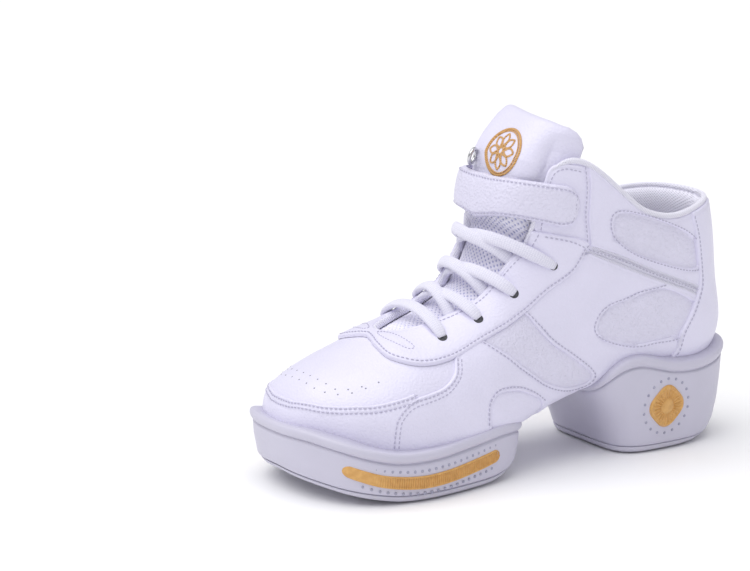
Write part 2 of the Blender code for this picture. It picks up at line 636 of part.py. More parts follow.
def lace_run(name, start, end, dips, material):
    """One run of lace over the tongue, from an eyelet to another, or down to the throat's opposite edge."""
    steps = 8
    share = np.linspace(0, 1, steps + 1)
    section = start[0] + (end[0] - start[0]) * share
    angle = start[1] + (end[1] - start[1]) * share
    over = GAP + OVERLAY + GAP + LACE_THICKNESS / 2
    under = LACE_THICKNESS / 2 - WALL
    ends = (over, over + LACE_RISE, over + LACE_RISE, over, under if dips else over)
    lift = np.interp(share, (0, 0.3, 0.6, 0.8, 1) if dips else (0, 0.25, 0.75, 1, 1.1), ends)
    middle = skin(section, angle, lift)
    along = np.gradient(middle, axis=0)
    along /= np.linalg.norm(along, axis=1, keepdims=True)
    up = skin(section, angle, lift + 0.001) - middle
    up -= (up * along).sum(axis=1, keepdims=True) * along
    up /= np.linalg.norm(up, axis=1, keepdims=True)
    wide = np.cross(along, up)
    sides = 6
    turn = np.linspace(0, 2 * math.pi, sides, endpoint=False)
    rings = (middle[:, None] + wide[:, None] * (np.cos(turn) * LACE_WIDTH / 2)[None, :, None]
             + up[:, None] * (np.sin(turn) * LACE_THICKNESS / 2)[None, :, None])
    faces = grid_faces(steps + 1, sides, closed=True)
    faces.append(tuple(range(sides)))
    faces.append(tuple(steps * sides + j for j in range(sides - 1, -1, -1)))
    return solid(name, rings.reshape(-1, 3), faces, material)


def make_laces(material):
    """The lowest bar of the lace, and a crossing of two runs into each higher pair of eyelets."""
    lace_run("lace_bar", (EYELETS[0][0], -EYELETS[0][1]), EYELETS[0], False, material)
    sections, opening = np.array(THROAT).T
    for row, (lower, upper) in enumerate(zip(EYELETS, EYELETS[1:]), start=1):
        below = (lower[0] + upper[0]) / 2
        edge = np.interp(below, sections, opening) - LACE_END
        runs = [lace_run(f"lace run {side}", (upper[0], side * upper[1]), (below, -side * edge), True, material)
                for side in (-1, 1)]
        joined(f"lace_cross_{row}", runs, material)


def make_forefoot(materials):
    """The forefoot unit, its tread and the long inlays in its two sides."""
    sole = forefoot_block("forefoot_sole", 0.0, materials["sole"])
    cut(sole, SOLE_FORM)
    tread = forefoot_tread("forefoot_tread", materials["tread"])
    centre = (-0.25 * LENGTH, 0.0)
    ring = disc("turning spot", centre, PIVOT_RADIUS, -0.01, TREAD_GROOVE_DEPTH)
    cut(ring, disc("turning spot middle", centre, PIVOT_RADIUS - TREAD_GROOVE, -0.02, 0.02))
    cut(tread, ring)
    line = smooth_path(INLAY_LINE, 3) * (LENGTH, SEAT_HEIGHT, SEAT_HEIGHT)
    outline = np.concatenate([np.column_stack([line[:, 0], line[:, 1] - line[:, 2]]),
                              np.column_stack([line[::-1, 0], line[::-1, 1] + line[::-1, 2]])])
    for name, low, high in (("inlay_outer", -BALL_WIDTH, -0.010), ("inlay_inner", 0.010, BALL_WIDTH)):
        inlay = forefoot_block(name, GAP + INLAY, materials["gold"])
        cut(inlay, forefoot_block(name + " inner face", GAP))
        cut(inlay, prism(name + " outline", outline, 1, low, high), "INTERSECT")


def make_heel(materials):
    """The heel unit, its tread and a plain medallion in each side."""
    sole = heel_block("heel_sole", 0.0, materials["sole"])
    cut(sole, heel_groove())
    cut(sole, SOLE_FORM)
    heel_tread("heel_tread", materials["tread"])
    turn = np.linspace(0, 2 * math.pi, 24, endpoint=False)
    centre = (0.295 * LENGTH, 0.60 * SEAT_HEIGHT)
    radius = 1 + 0.06 * np.cos(4 * turn)
    outline = np.column_stack([centre[0] + BADGE_WIDTH / 2 * radius * np.sin(turn),
                               centre[1] + BADGE_HEIGHT / 2 * radius * np.cos(turn)])
    levels = [(height, 0, 0) for height in (0.11, 0.27, 0.52, 0.80, 1.05)]
    for name, low, high in (("badge_outer", -BALL_WIDTH, -0.010), ("badge_inner", 0.010, BALL_WIDTH)):
        badge = heel_rings(name, levels, GAP + BADGE, materials["gold"])
        cut(badge, heel_rings(name + " inner face", [(0, 0, 0), *levels, (1.45, 0, 0)], GAP))
        cut(badge, prism(name + " outline", outline, 1, low, high), "INTERSECT")


for old in list(bpy.data.objects):
    bpy.data.objects.remove(old)
SHOE = collection("dance sneaker")
CUTTERS = collection("cutters")
MATERIALS = {
    "leather": finish("white leather", WHITE, 0.42),
    "lining": finish("white knit", WARM_WHITE, 0.85),
    "lace": finish("white lace", WARM_WHITE, 0.80),
    "sole": finish("white rubber", WHITE, 0.50),
    "tread": finish("outsole rubber", WARM_WHITE, 0.60),
    "gold": finish("gold inlay", GOLD, 0.35),
    "steel": finish("polished steel", STEEL, 0.15, 1.0),
}
THROAT_CUTTER = throat_cutter()
SOLE_FORM = last_form("form in the soles", GAP)
SOLE_EDGE = forefoot_edge()
HEEL_EDGE = heel_block("heel edge", OVERLAY)

make_upper(MATERIALS["leather"])
make_insole(MATERIALS["lining"])
make_tongue(MATERIALS["leather"])
make_overlay("eyestay", smooth_path(side_view(EYESTAY), 2, closed=True), MATERIALS["leather"], THROAT_CUTTER)
make_overlay("toe_guard", side_view(TOE_GUARD), MATERIALS["leather"], SOLE_EDGE)
make_overlay("back_stay", side_view(BACK_STAY), MATERIALS["leather"], HEEL_EDGE, top_line_cutter())
make_strap(MATERIALS["leather"])
make_strap_ring(MATERIALS["steel"])
make_laces(MATERIALS["lace"])
make_forefoot(MATERIALS)
make_heel(MATERIALS)
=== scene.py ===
"""A white high-top dance sneaker for the left foot, empty and fastened, on a pale studio floor."""

import math

import bmesh
import bpy
import numpy as np
from mathutils import Matrix, Vector
from mathutils.geometry import delaunay_2d_cdt
from mathutils.kdtree import KDTree


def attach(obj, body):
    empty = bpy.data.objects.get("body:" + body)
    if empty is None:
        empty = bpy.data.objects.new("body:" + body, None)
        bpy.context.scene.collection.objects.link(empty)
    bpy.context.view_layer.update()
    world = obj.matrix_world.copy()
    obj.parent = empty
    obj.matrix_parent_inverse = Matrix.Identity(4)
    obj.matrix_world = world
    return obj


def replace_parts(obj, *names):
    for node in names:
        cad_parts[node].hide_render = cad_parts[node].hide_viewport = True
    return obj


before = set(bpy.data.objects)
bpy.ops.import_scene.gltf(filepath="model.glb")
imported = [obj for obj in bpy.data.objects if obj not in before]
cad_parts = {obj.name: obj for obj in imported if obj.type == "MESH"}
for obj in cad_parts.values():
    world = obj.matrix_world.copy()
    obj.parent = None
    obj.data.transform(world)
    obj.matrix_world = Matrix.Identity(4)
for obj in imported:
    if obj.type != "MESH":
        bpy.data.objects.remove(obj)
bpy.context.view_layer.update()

# Studio
# A pale matt floor under a pale even sky, and one broad soft light overhead, a little to the toe's side.
# The camera looks at the outer side from the front, a little above the ankle.
FOCAL_LENGTH_PIXELS, PICTURE_WIDTH_PIXELS, SENSOR_WIDTH = 2508, 750, 36
azimuth, elevation = math.radians(-31.01), math.radians(11.94)
level = math.cos(elevation)
back = Vector((math.sin(azimuth) * level, -math.cos(azimuth) * level, math.sin(elevation)))
right = Vector((math.cos(azimuth), math.sin(azimuth), 0))
up = back.cross(right)
place = right * -0.0591 + up * 0.0813 + back * 1.198 - Vector((0.0003, 0, 0))
camera = bpy.data.objects.new("camera", bpy.data.cameras.new("camera"))
bpy.context.scene.collection.objects.link(camera)
camera.data.sensor_width = SENSOR_WIDTH
camera.data.lens = SENSOR_WIDTH * FOCAL_LENGTH_PIXELS / PICTURE_WIDTH_PIXELS
camera.data.clip_start = 0.05
camera.matrix_world = Matrix(((right.x, up.x, back.x, place.x), (right.y, up.y, back.y, place.y),
                              (right.z, up.z, back.z, place.z), (0, 0, 0, 1)))
bpy.context.scene.camera = camera
bpy.context.scene.view_settings.view_transform = "Standard"

floor_mesh = bpy.data.meshes.new("floor")
floor_mesh.from_pydata([(-6, -6, 0), (6, -6, 0), (6, 6, 0), (-6, 6, 0)], [], [(0, 1, 2, 3)])
floor = bpy.data.objects.new("floor", floor_mesh)
bpy.context.scene.collection.objects.link(floor)
floor_paint = bpy.data.materials.new("floor paint")
floor_paint.use_nodes = True
paint = floor_paint.node_tree.nodes["Principled BSDF"]
paint.inputs["Base Color"].default_value = (0.98, 0.98, 0.98, 1)
paint.inputs["Roughness"].default_value = 0.6
floor_mesh.materials.append(floor_paint)

world = bpy.data.worlds.new("studio")
bpy.context.scene.world = world
world.use_nodes = True
sky = world.node_tree.nodes["Background"]
sky.inputs["Color"].default_value = (0.97, 0.97, 1.0, 1)
sky.inputs["Strength"].default_value = 0.54
overhead = bpy.data.objects.new("overhead", bpy.data.lights.new("overhead", "SUN"))
overhead.data.energy = 2.06
overhead.data.angle = math.radians(70)
overhead.rotation_euler = Vector((0.36, 0.0, -1.0)).to_track_quat("-Z", "Y").to_euler()
bpy.context.scene.collection.objects.link(overhead)

# Upper
# The shell of the shoe: thin white coated leather over a knit lining, lasted over a form and closed
# underneath by the two sole units. Every other piece of the upper is laid on this one.
LENGTH, BALL_WIDTH, HEEL_WIDTH, COLLAR_HEIGHT, SEAT_HEIGHT = 0.2446, 0.086, 0.067, 0.145, 0.038
WALL, GAP, OVERLAY = 0.002, 0.0003, 0.0013
# Rows of the form: ridge x, base x, rise, seat, back, ball, heel, shift, widest, crown, floor
FORM = (
    (-.4798, -.4798, 0, .66, 0, 0, 0, .18, .60, 2.6, 4.0),
    (-.4697, -.4697, .115, .57, 0, .33, 0, .18, .60, 2.5, 4.5),
    (-.4424, -.4424, .205, .50, 0, .62, 0, .16, .61, 2.4, 5),
    (-.4010, -.4010, .262, .43, 0, .83, 0, .12, .62, 2.3, 5.5),
    (-.3505, -.3505, .312, .39, 0, .95, 0, .08, .62, 2.2, 6),
    (-.2879, -.2879, .366, .37, 0, 1, 0, .03, .62, 2.0, 6),
    (-.2223, -.2132, .405, .38, 0, .99, 0, 0, .60, 1.9, 6),
    (-.1567, -.1243, .428, .47, 0, .60, .42, -.02, .57, 1.9, 6),
    (-.1082, -.0254, .431, .64, 0, .30, .71, -.02, .54, 2, 5.5),
    (-.0789, .0806, .438, .83, 0, 0, 1.03, 0, .52, 2.2, 5),
    (-.0628, .2038, .462, .97, 0, 0, 1.02, 0, .50, 2.4, 4.6),
    (-.0527, .3432, .507, 1.01, 0, 0, 1.03, 0, .50, 2.5, 4.2),
    (-.0496, .4310, .538, 1.07, 0, 0, 1.04, 0, .50, 3, 3.4),
    (-.0456, .4785, .490, 1.08, .097, 0, 1.06, 0, .50, 3.3, 2.7),
    (-.0365, .4704, .386, 1.08, .255, 0, 1.07, 0, .5, 3.4, 2.5),
    (-.0203, .4593, .290, 1.08, .414, 0, 1.08, 0, .5, 3.4, 2.5),
    (.0009, .4442, .214, 1.08, .552, 0, 1.06, 0, .5, 3.4, 2.5),
    (.0291, .4331, .138, 1.08, .683, 0, 1.03, 0, .5, 3.3, 2.5),
    (.0574, .4240, .062, 1.08, .807, 0, 1.00, 0, .50, 3.2, 2.5),
)
THROAT = np.array(((5.20, .02), (5.28, .12), (5.45, .20), (5.80, .28), (6.30, .35), (7.50, .47), (9.10, .59),
                   (11.1, .70), (12.5, .75), (15.0, .76), (18.0, .78)))
TOP_LINE = ((-.1082, .900), (-.0123, .925), (.0221, .965), (.0463, .998), (.0756, 1.004), (.1059, .983),
            (.1433, .935), (.1806, .880), (.2230, .825), (.2654, .800), (.3078, .793), (.3513, .802),
            (.3937, .815), (.4472, .824), (.5967, .826))


def spline(rows, at):
    """Values between evenly spaced rows, on a smooth curve through them."""
    rows = np.asarray(rows, float)
    last = len(rows) - 1
    first = np.clip(np.floor(at).astype(int), 0, last - 1)
    t = (at - first)[..., None]
    before, start, end, after = (rows[np.clip(first + k, 0, last)] for k in (-1, 0, 1, 2))
    return ((2 * t**3 - 3 * t**2 + 1) * start + (t**3 - 2 * t**2 + t) * (end - before) / 2
            + (3 * t**2 - 2 * t**3) * end + (t**3 - t**2) * (after - start) / 2)


def smooth_path(points, steps, closed=False):
    """Points on a smooth curve through the given ones, steps to each stretch."""
    points = np.asarray(points, float)
    if closed:
        ring = np.concatenate([points[-2:], points, points[:3]])
        return spline(ring, 2 + np.arange(len(points) * steps) / steps)
    return spline(points, np.linspace(0, len(points) - 1, (len(points) - 1) * steps + 1))


def form_rows():
    """The rows of the form in metres, with a mirrored row before the toe so that its tip is round."""
    ridge, base, rise, seat, rear, ball, heel, shift, widest, crown, bottom = np.array(FORM).T
    base_z = seat * SEAT_HEIGHT + rear * COLLAR_HEIGHT
    half = ball * BALL_WIDTH / 2 + heel * HEEL_WIDTH / 2
    rows = np.stack([ridge * LENGTH, base_z + rise * COLLAR_HEIGHT, base * LENGTH, base_z, half,
                     shift * BALL_WIDTH / 2, widest, crown, bottom], axis=1)
    before = rows[1].copy()
    before[[1, 3, 4]] = 2 * rows[0][[1, 3, 4]] - rows[1][[1, 3, 4]]
    return np.concatenate([[before], rows])


FORM_METRES = form_rows()


def surface(section, angle):
    """A point of the form. Angle 0 is the ridge and pi the base; it is positive on the inner side."""
    section, angle = np.broadcast_arrays(np.asarray(section, float), np.asarray(angle, float))
    angle = (angle + math.pi) % (2 * math.pi) - math.pi
    ridge_x, ridge_z, base_x, base_z, half, shift, widest, crown, bottom = np.moveaxis(
        spline(FORM_METRES, section + 1), -1, 0)
    turn = np.abs(angle)
    power = np.where(turn < math.pi / 2, crown, bottom)
    along, across = np.abs(np.cos(turn)), np.abs(np.sin(turn))
    radius = (along**power + across**power) ** (-1 / power)
    share = np.where(turn < math.pi / 2, widest * (1 - radius * along),
                     widest + (1 - widest) * radius * along)
    return np.stack([ridge_x + share * (base_x - ridge_x),
                     shift + np.sign(np.sin(angle)) * half * radius * across,
                     ridge_z + share * (base_z - ridge_z)], axis=-1)


# Soft folds where the foot bends: section, angle, reach along and across in metres, turn, depth in metres
FOLDS = ((6.75, 1.42, .004, .017, .5, .0005), (7.35, 1.30, .004, .014, .45, -.0003),
         (5.9, 1.62, .003, .013, .4, .0003), (11.6, 1.42, .003, .014, -.7, .0004),
         (12.2, 1.66, .0026, .012, -.6, .0004), (10.9, 1.26, .0035, .013, -.8, -.0003),
         (14.2, 1.02, .0022, .010, 1.2, .0003), (3.2, 1.30, .004, .016, .2, -.0002),
         (4.6, 1.66, .004, .016, .1, .0002), (8.6, 2.30, .004, .013, .6, .0003),
         (5.1, .60, .006, .018, .1, -.0004))


def folds(points):
    """How far the leather sinks or swells at points of the form."""
    lift = np.zeros(points.shape[:-1])
    for section, angle, short, long, turn, depth in FOLDS:
        for side in (-1, 1):
            middle = surface(section, side * angle)
            ahead = points[..., 0] - middle[0]
            high = points[..., 2] - middle[2]
            near = np.exp(-((points[..., 1] - middle[1]) / 0.022) ** 2)
            u = ahead * math.cos(turn) + high * math.sin(turn)
            v = -ahead * math.sin(turn) + high * math.cos(turn)
            lift -= depth * near * np.exp(-(u / short) ** 2 - (v / long) ** 2)
    return lift


def skin(section, angle, offset=0.0):
    """A point at a distance outside the form, along its normal, with the folds of worn-in leather."""
    section, angle = np.broadcast_arrays(np.asarray(section, float), np.asarray(angle, float))
    step = 1e-3
    middle = np.clip(section, 0.05, 17.99)
    over = surface(middle + step, angle) - surface(middle - step, angle)
    around = surface(middle, angle + step) - surface(middle, angle - step)
    normal = np.cross(over, around)
    normal /= np.linalg.norm(normal, axis=-1, keepdims=True) + 1e-12
    point = surface(section, angle)
    return point + normal * (np.asarray(offset) + folds(point))[..., None]


def top_section(angle):
    """The section at which the top line crosses each angle."""
    line = smooth_path(TOP_LINE, 8) * (LENGTH, COLLAR_HEIGHT)
    rows = np.linspace(12, 17.9, 500)[:, None]
    points = surface(rows, np.asarray(angle, float)[None, :])
    over = points[..., 2] > np.interp(points[..., 0], line[:, 0], line[:, 1])
    return rows[np.where(over.any(axis=0), over.argmax(axis=0), 499), 0]


EDGE_ANGLES = np.linspace(0.755, math.pi, 160)
EDGE_SECTIONS = top_section(EDGE_ANGLES)
EDGE_SECTIONS = np.convolve(np.pad(EDGE_SECTIONS, 4, "edge"), np.ones(9) / 9, "valid")


def end_section(angle):
    """The last section of the leather at an angle: the throat's edge in front, the top line behind."""
    angle = np.abs((np.asarray(angle, float) + math.pi) % (2 * math.pi) - math.pi)
    in_throat = np.interp(angle, THROAT[:10, 1], THROAT[:10, 0])
    return np.where(angle < 0.757, np.minimum(in_throat, EDGE_SECTIONS[0]),
                    np.interp(angle, EDGE_ANGLES, EDGE_SECTIONS))


def grid_faces(rows, columns, closed=False):
    """Quads between rows of points that lie one after another."""
    faces = []
    for here in range(0, (rows - 1) * columns, columns):
        after = here + columns
        for j in range(columns if closed else columns - 1):
            side = (j + 1) % columns
            faces.append((here + j, here + side, after + side, after + j))
    return faces


def piece(name, points, faces, material, merge=None, outward=False):
    """A finished piece from points and faces, riding on the shoe. Its faces are turned outwards, unless they
    are said to be so already."""
    mesh = bpy.data.meshes.new(name)
    mesh.from_pydata(np.asarray(points, float).reshape(-1, 3).tolist(), [], faces)
    if merge or not outward:
        shape = bmesh.new()
        shape.from_mesh(mesh)
        if merge:
            bmesh.ops.remove_doubles(shape, verts=shape.verts, dist=merge)
            bmesh.ops.dissolve_degenerate(shape, edges=shape.edges, dist=1e-7)
        if not outward:
            bmesh.ops.recalc_face_normals(shape, faces=shape.faces)
        shape.to_mesh(mesh)
        shape.free()
    mesh.shade_smooth()
    made = bpy.data.objects.new(name, mesh)
    bpy.context.scene.collection.objects.link(made)
    mesh.materials.append(material)
    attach(made, "root")
    return made


def material_nodes(name, colour, roughness):
    """A new material, its node tree, its shader, and object coordinates to hang patterns on."""
    made = bpy.data.materials.new(name)
    made.use_nodes = True
    tree = made.node_tree
    shader = tree.nodes["Principled BSDF"]
    shader.inputs["Base Color"].default_value = (*colour, 1)
    shader.inputs["Roughness"].default_value = roughness
    where = tree.nodes.new("ShaderNodeTexCoord").outputs["Object"]
    return made, tree, shader, where


def pattern(tree, where, kind, scale, **sockets):
    """A noise or cell texture on object coordinates, at a number of repeats a metre."""
    node = tree.nodes.new({"noise": "ShaderNodeTexNoise", "cells": "ShaderNodeTexVoronoi"}[kind])
    node.inputs["Scale"].default_value = scale
    for socket, value in sockets.items():
        node.inputs[socket].default_value = value
    tree.links.new(where, node.inputs["Vector"])
    return node


def ramp(tree, value, low, high, first, second):
    """Two colours or greys over part of a value's range."""
    node = tree.nodes.new("ShaderNodeValToRGB")
    node.color_ramp.elements[0].position, node.color_ramp.elements[1].position = low, high
    node.color_ramp.elements[0].color = (*first, 1) if len(first) == 3 else (first[0],) * 3 + (1,)
    node.color_ramp.elements[1].color = (*second, 1) if len(second) == 3 else (second[0],) * 3 + (1,)
    tree.links.new(value, node.inputs["Fac"])
    return node.outputs["Color"]


def bump(tree, shader, height, distance, strength=1.0, under=None):
    """Relief from a height, laid over another relief if there is one."""
    node = tree.nodes.new("ShaderNodeBump")
    node.inputs["Distance"].default_value = distance
    node.inputs["Strength"].default_value = strength
    tree.links.new(height, node.inputs["Height"])
    if under is not None:
        tree.links.new(under, node.inputs["Normal"])
    tree.links.new(node.outputs["Normal"], shader.inputs["Normal"])
    return node.outputs["Normal"]


WHITE = (0.78, 0.757, 0.92)


def leather(name, grain, depth, colour=WHITE, gloss=0.40):
    """Coated leather: a faint change of tone, a grain of small cells with pores, and uneven gloss."""
    made, tree, shader, where = material_nodes(name, colour, gloss)
    shader.inputs["Coat Weight"].default_value = 0.10
    shader.inputs["Coat Roughness"].default_value = 0.30
    cloud = pattern(tree, where, "noise", 38, Detail=3.0)
    tone = ramp(tree, cloud.outputs["Fac"], 0.35, 0.65, tuple(c * 0.965 for c in colour), colour)
    tree.links.new(tone, shader.inputs["Base Color"])
    cells = pattern(tree, where, "cells", 1 / grain, Randomness=1.0)
    cells.feature = "SMOOTH_F1"
    soft = pattern(tree, where, "noise", 0.75 / grain, Detail=2.0)
    rough = ramp(tree, soft.outputs["Fac"], 0.3, 0.7, (gloss - 0.06,), (gloss + 0.08,))
    tree.links.new(rough, shader.inputs["Roughness"])
    first = bump(tree, shader, cells.outputs["Distance"], depth, 0.75)
    bump(tree, shader, soft.outputs["Fac"], depth * 0.6, 0.3, first)
    return made


smooth_leather = leather("smooth leather", 0.0010, 0.00026)
grained_leather = leather("grained leather", 0.0012, 0.00075, (0.745, 0.723, 0.875), 0.46)

turns = np.concatenate([np.linspace(0.0, 0.80, 70), np.linspace(0.82, math.pi, 90)])
turns = np.concatenate([-turns[::-1], turns[1:-1]])
rows = np.concatenate([[0.0], np.linspace(0.02, 1, 170) ** 0.9])
ends = (end_section(turns) - 0.02)[None, :]
section = np.where(rows[:, None] < 0.4, rows[:, None] / 0.4 * 4.9,
                   4.9 + (rows[:, None] - 0.4) / 0.6 * (ends - 4.9))
shell = piece("upper_shell", skin(section, turns[None, :]), grid_faces(len(rows), len(turns), closed=True),
              smooth_leather, merge=2e-5)
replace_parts(shell, "upper")


def flat_distance(points, others):
    """The distance from each point to the nearest of the others."""
    tree = KDTree(len(others))
    for index, at in enumerate(others):
        tree.insert(at, index)
    tree.balance()
    return np.array([tree.find(at)[2] for at in points])


def local_scale(section, angle):
    """Metres to a unit of section and of angle, at points of the form."""
    step = 0.01
    middle = np.clip(section, 0.1, 17.9)
    over = surface(middle + step, angle) - surface(middle - step, angle)
    around = surface(middle, angle + step) - surface(middle, angle - step)
    lengths = [np.linalg.norm(way, axis=-1) / (2 * step) for way in (over, around)]
    return np.maximum(lengths[0], 1e-4), np.maximum(lengths[1], 1e-4)


def even_path(path, spacing, closed=True):
    """A path of (section, angle) with its points evenly spaced over the form."""
    path = np.asarray(path, float)
    if closed:
        path = np.concatenate([path, path[:1]])
    steps = np.linalg.norm(np.diff(surface(path[:, 0], path[:, 1]), axis=0), axis=1)
    gone = np.concatenate([[0], np.cumsum(steps)])
    count = max(int(gone[-1] / spacing), 4)
    at = np.linspace(0, gone[-1], count + 1)
    if closed:
        at = at[:-1]
    return np.column_stack([np.interp(at, gone, path[:, 0]), np.interp(at, gone, path[:, 1])])


def moved_path(path, distance, closed=True):
    """A path moved to its left by a distance in metres, over the form."""
    over, around = local_scale(path[:, 0], path[:, 1])
    if closed:
        along = np.roll(path, -1, axis=0) - np.roll(path, 1, axis=0)
    else:
        along = np.gradient(path, axis=0)
    along = along * np.column_stack([over, around])
    along /= np.linalg.norm(along, axis=1, keepdims=True) + 1e-12
    return path + np.column_stack([-along[:, 1] / over, along[:, 0] / around]) * distance


def inside(points, loops):
    """Whether points of a plane lie inside an odd number of loops."""
    odd = np.zeros(len(points), bool)
    for loop in loops:
        after = np.roll(loop, -1, axis=0)
        for (x0, y0), (x1, y1) in zip(loop, after):
            if y0 == y1:
                continue
            crosses = (y0 > points[:, 1]) != (y1 > points[:, 1])
            odd ^= crosses & (points[:, 0] < (x1 - x0) * (points[:, 1] - y0) / (y1 - y0) + x0)
    return odd


SEAM_MARGIN, SECOND_ROW = 0.0018, 0.0038
PANEL_SPACING, CHANNEL_DEPTH, CHANNEL_WIDTH = 0.0017, 0.00030, 0.00042


def panel(name, outlines, low, high, material, edge=0.0009, shape=None, channels=(SEAM_MARGIN,)):
    """A cut piece of leather on the form, from outlines of (section, angle): the first is its edge and the
    others are windows in it. Its edges round over from the layer below to its own height, and the thread of
    each row of stitches draws a shallow channel into it at a distance from its edges."""
    loops = [even_path(outline, PANEL_SPACING * 0.6) for outline in outlines]
    points = list(loops)
    rims = np.concatenate([surface(loop[:, 0], loop[:, 1]) for loop in loops])
    for number, loop in enumerate(loops):
        turn = 0.5 * np.sum(loop[:, 0] * np.roll(loop[:, 1], -1) - np.roll(loop[:, 0], -1) * loop[:, 1])
        way = (1 if turn > 0 else -1) * (1 if number == 0 else -1)
        insets = [edge * share for share in (0.12, 0.4, 0.8)]
        insets += [channel + step for channel in channels for step in (-0.0005, 0.0, 0.0005)]
        for inset in insets:
            moved = moved_path(loop, way * inset)
            at = surface(moved[:, 0], moved[:, 1])
            points.append(moved[inside(moved, loops) & (flat_distance(at, rims) > inset * 0.8)])
    first, last = loops[0].min(axis=0), loops[0].max(axis=0)
    over, around = local_scale(loops[0][:, 0], loops[0][:, 1])
    scale = np.array([np.median(over), np.median(around)])
    steps = np.ceil((last - first) * scale / PANEL_SPACING).astype(int) + 1
    lines = [np.linspace(first[k], last[k], steps[k]) for k in (0, 1)]
    fill = np.stack(np.meshgrid(*lines, indexing="ij"), axis=-1)
    fill[::2, :, 1] += (last[1] - first[1]) / steps[1] * 0.5
    fill = fill.reshape(-1, 2)
    fill = fill[inside(fill, loops)]
    reach = max([edge, *(channel + 0.0005 for channel in channels)])
    fill = fill[flat_distance(surface(fill[:, 0], fill[:, 1]), rims) > reach + PANEL_SPACING * 0.45]
    points = np.concatenate([*points, fill])
    edges, start = [], 0
    for loop in loops:
        edges += [(start + i, start + (i + 1) % len(loop)) for i in range(len(loop))]
        start += len(loop)
    flat = points * scale * 1000
    found = delaunay_2d_cdt([Vector(at) for at in flat], edges, [], 0, 1e-5)
    flat = np.array([tuple(at) for at in found[0]])
    triangles = np.array([face for face in found[2] if len(face) == 3])
    triangles = triangles[inside(flat[triangles].mean(axis=1), [loop * scale * 1000 for loop in loops])]
    at = flat / (scale * 1000)
    distance = flat_distance(surface(at[:, 0], at[:, 1]), rims)
    near = np.clip(distance / edge, 0, 1)
    height = low + (high - low) * np.sqrt(1 - (1 - near) ** 2)
    for channel in channels:
        height = height - CHANNEL_DEPTH * np.exp(-(((distance - channel) / CHANNEL_WIDTH) ** 2))
    if shape is not None:
        height = height + shape(at, distance)
    made = piece(name, skin(at[:, 0], at[:, 1], height), triangles.tolist(), material, outward=True)
    centre = made.data.polygons[len(made.data.polygons) // 2]
    section_at, angle_at = at[centre.vertices[0]]
    outwards = skin(section_at, angle_at, 0.001) - skin(section_at, angle_at, 0.0)
    if np.dot(np.array(centre.normal), outwards) < 0:
        made.data.flip_normals()
    return made


def sided(path, side):
    """A path given for the outer side, where angles are written without a sign, on either side."""
    return np.asarray(path, float) * (1, side)


# Toe guard
# A band of smooth leather round the toe, stitched down along its upper edge by two rows of thread.
# Its lower edge runs under the lip of the forefoot unit.
GUARD_EDGE = ((4.95, 1.12), (4.70, 1.13), (3.82, 1.10), (3.12, 1.03), (2.55, .975), (2.13, .90),
              (1.75, .72), (1.52, .54), (1.41, .40), (1.37, .20))


def thread(name, tone):
    """Matt twisted thread, with painted shade in the hollows of the twist."""
    made, tree, shader, where = material_nodes(name, tone, 0.62)
    twist = pattern(tree, where, "noise", 2600, Detail=2.0)
    bump(tree, shader, twist.outputs["Fac"], 0.0001, 0.5)
    shade = ramp(tree, twist.outputs["Fac"], 0.3, 0.7, tuple(c * 0.94 for c in tone), tone)
    tree.links.new(shade, shader.inputs["Base Color"])
    return made


# The thread is a grey well below the white leather: painted shade for the needle holes and the sunken
# grooves the stitches lie in.
thread_with_painted_shade = thread("white thread with painted shade", (0.53, 0.51, 0.65))


def stud_tree():
    """Small rounded bodies, one on each point: stitches, dots, and dark discs of painted shade that stand
    for pinholes.
    """
    tree = bpy.data.node_groups.new("studs on points", "GeometryNodeTree")
    face = tree.interface
    face.new_socket("Geometry", in_out="INPUT", socket_type="NodeSocketGeometry")
    for name in ("Length", "Width", "Height"):
        face.new_socket(name, in_out="INPUT", socket_type="NodeSocketFloat")
    face.new_socket("Roundness", in_out="INPUT", socket_type="NodeSocketInt")
    face.new_socket("Finish", in_out="INPUT", socket_type="NodeSocketMaterial")
    face.new_socket("Geometry", in_out="OUTPUT", socket_type="NodeSocketGeometry")
    node, link = tree.nodes.new, tree.links.new
    enter, leave = node("NodeGroupInput"), node("NodeGroupOutput")
    ball = node("GeometryNodeMeshIcoSphere")
    ball.inputs["Radius"].default_value = 0.5
    link(enter.outputs["Roundness"], ball.inputs["Subdivisions"])
    along, upward = node("GeometryNodeInputNamedAttribute"), node("GeometryNodeInputNamedAttribute")
    for reader, name in ((along, "along"), (upward, "upward")):
        reader.data_type = "FLOAT_VECTOR"
        reader.inputs["Name"].default_value = name
    turn_up = node("FunctionNodeAlignRotationToVector")
    turn_along = node("FunctionNodeAlignRotationToVector")
    turn_up.axis, turn_along.axis, turn_along.pivot_axis = "Z", "X", "Z"
    link(upward.outputs["Attribute"], turn_up.inputs["Vector"])
    link(turn_up.outputs["Rotation"], turn_along.inputs["Rotation"])
    link(along.outputs["Attribute"], turn_along.inputs["Vector"])
    size = node("ShaderNodeCombineXYZ")
    for axis, name in zip("XYZ", ("Length", "Width", "Height")):
        link(enter.outputs[name], size.inputs[axis])
    put = node("GeometryNodeInstanceOnPoints")
    link(enter.outputs["Geometry"], put.inputs["Points"])
    link(ball.outputs["Mesh"], put.inputs["Instance"])
    link(turn_along.outputs["Rotation"], put.inputs["Rotation"])
    link(size.outputs["Vector"], put.inputs["Scale"])
    real, smooth, finish = (node("GeometryNodeRealizeInstances"), node("GeometryNodeSetShadeSmooth"),
                            node("GeometryNodeSetMaterial"))
    link(put.outputs["Instances"], real.inputs["Geometry"])
    link(real.outputs["Geometry"], smooth.inputs["Geometry"])
    link(smooth.outputs["Geometry"], finish.inputs["Geometry"])
    link(enter.outputs["Finish"], finish.inputs["Material"])
    link(finish.outputs["Geometry"], leave.inputs["Geometry"])
    return tree


STUDS = stud_tree()


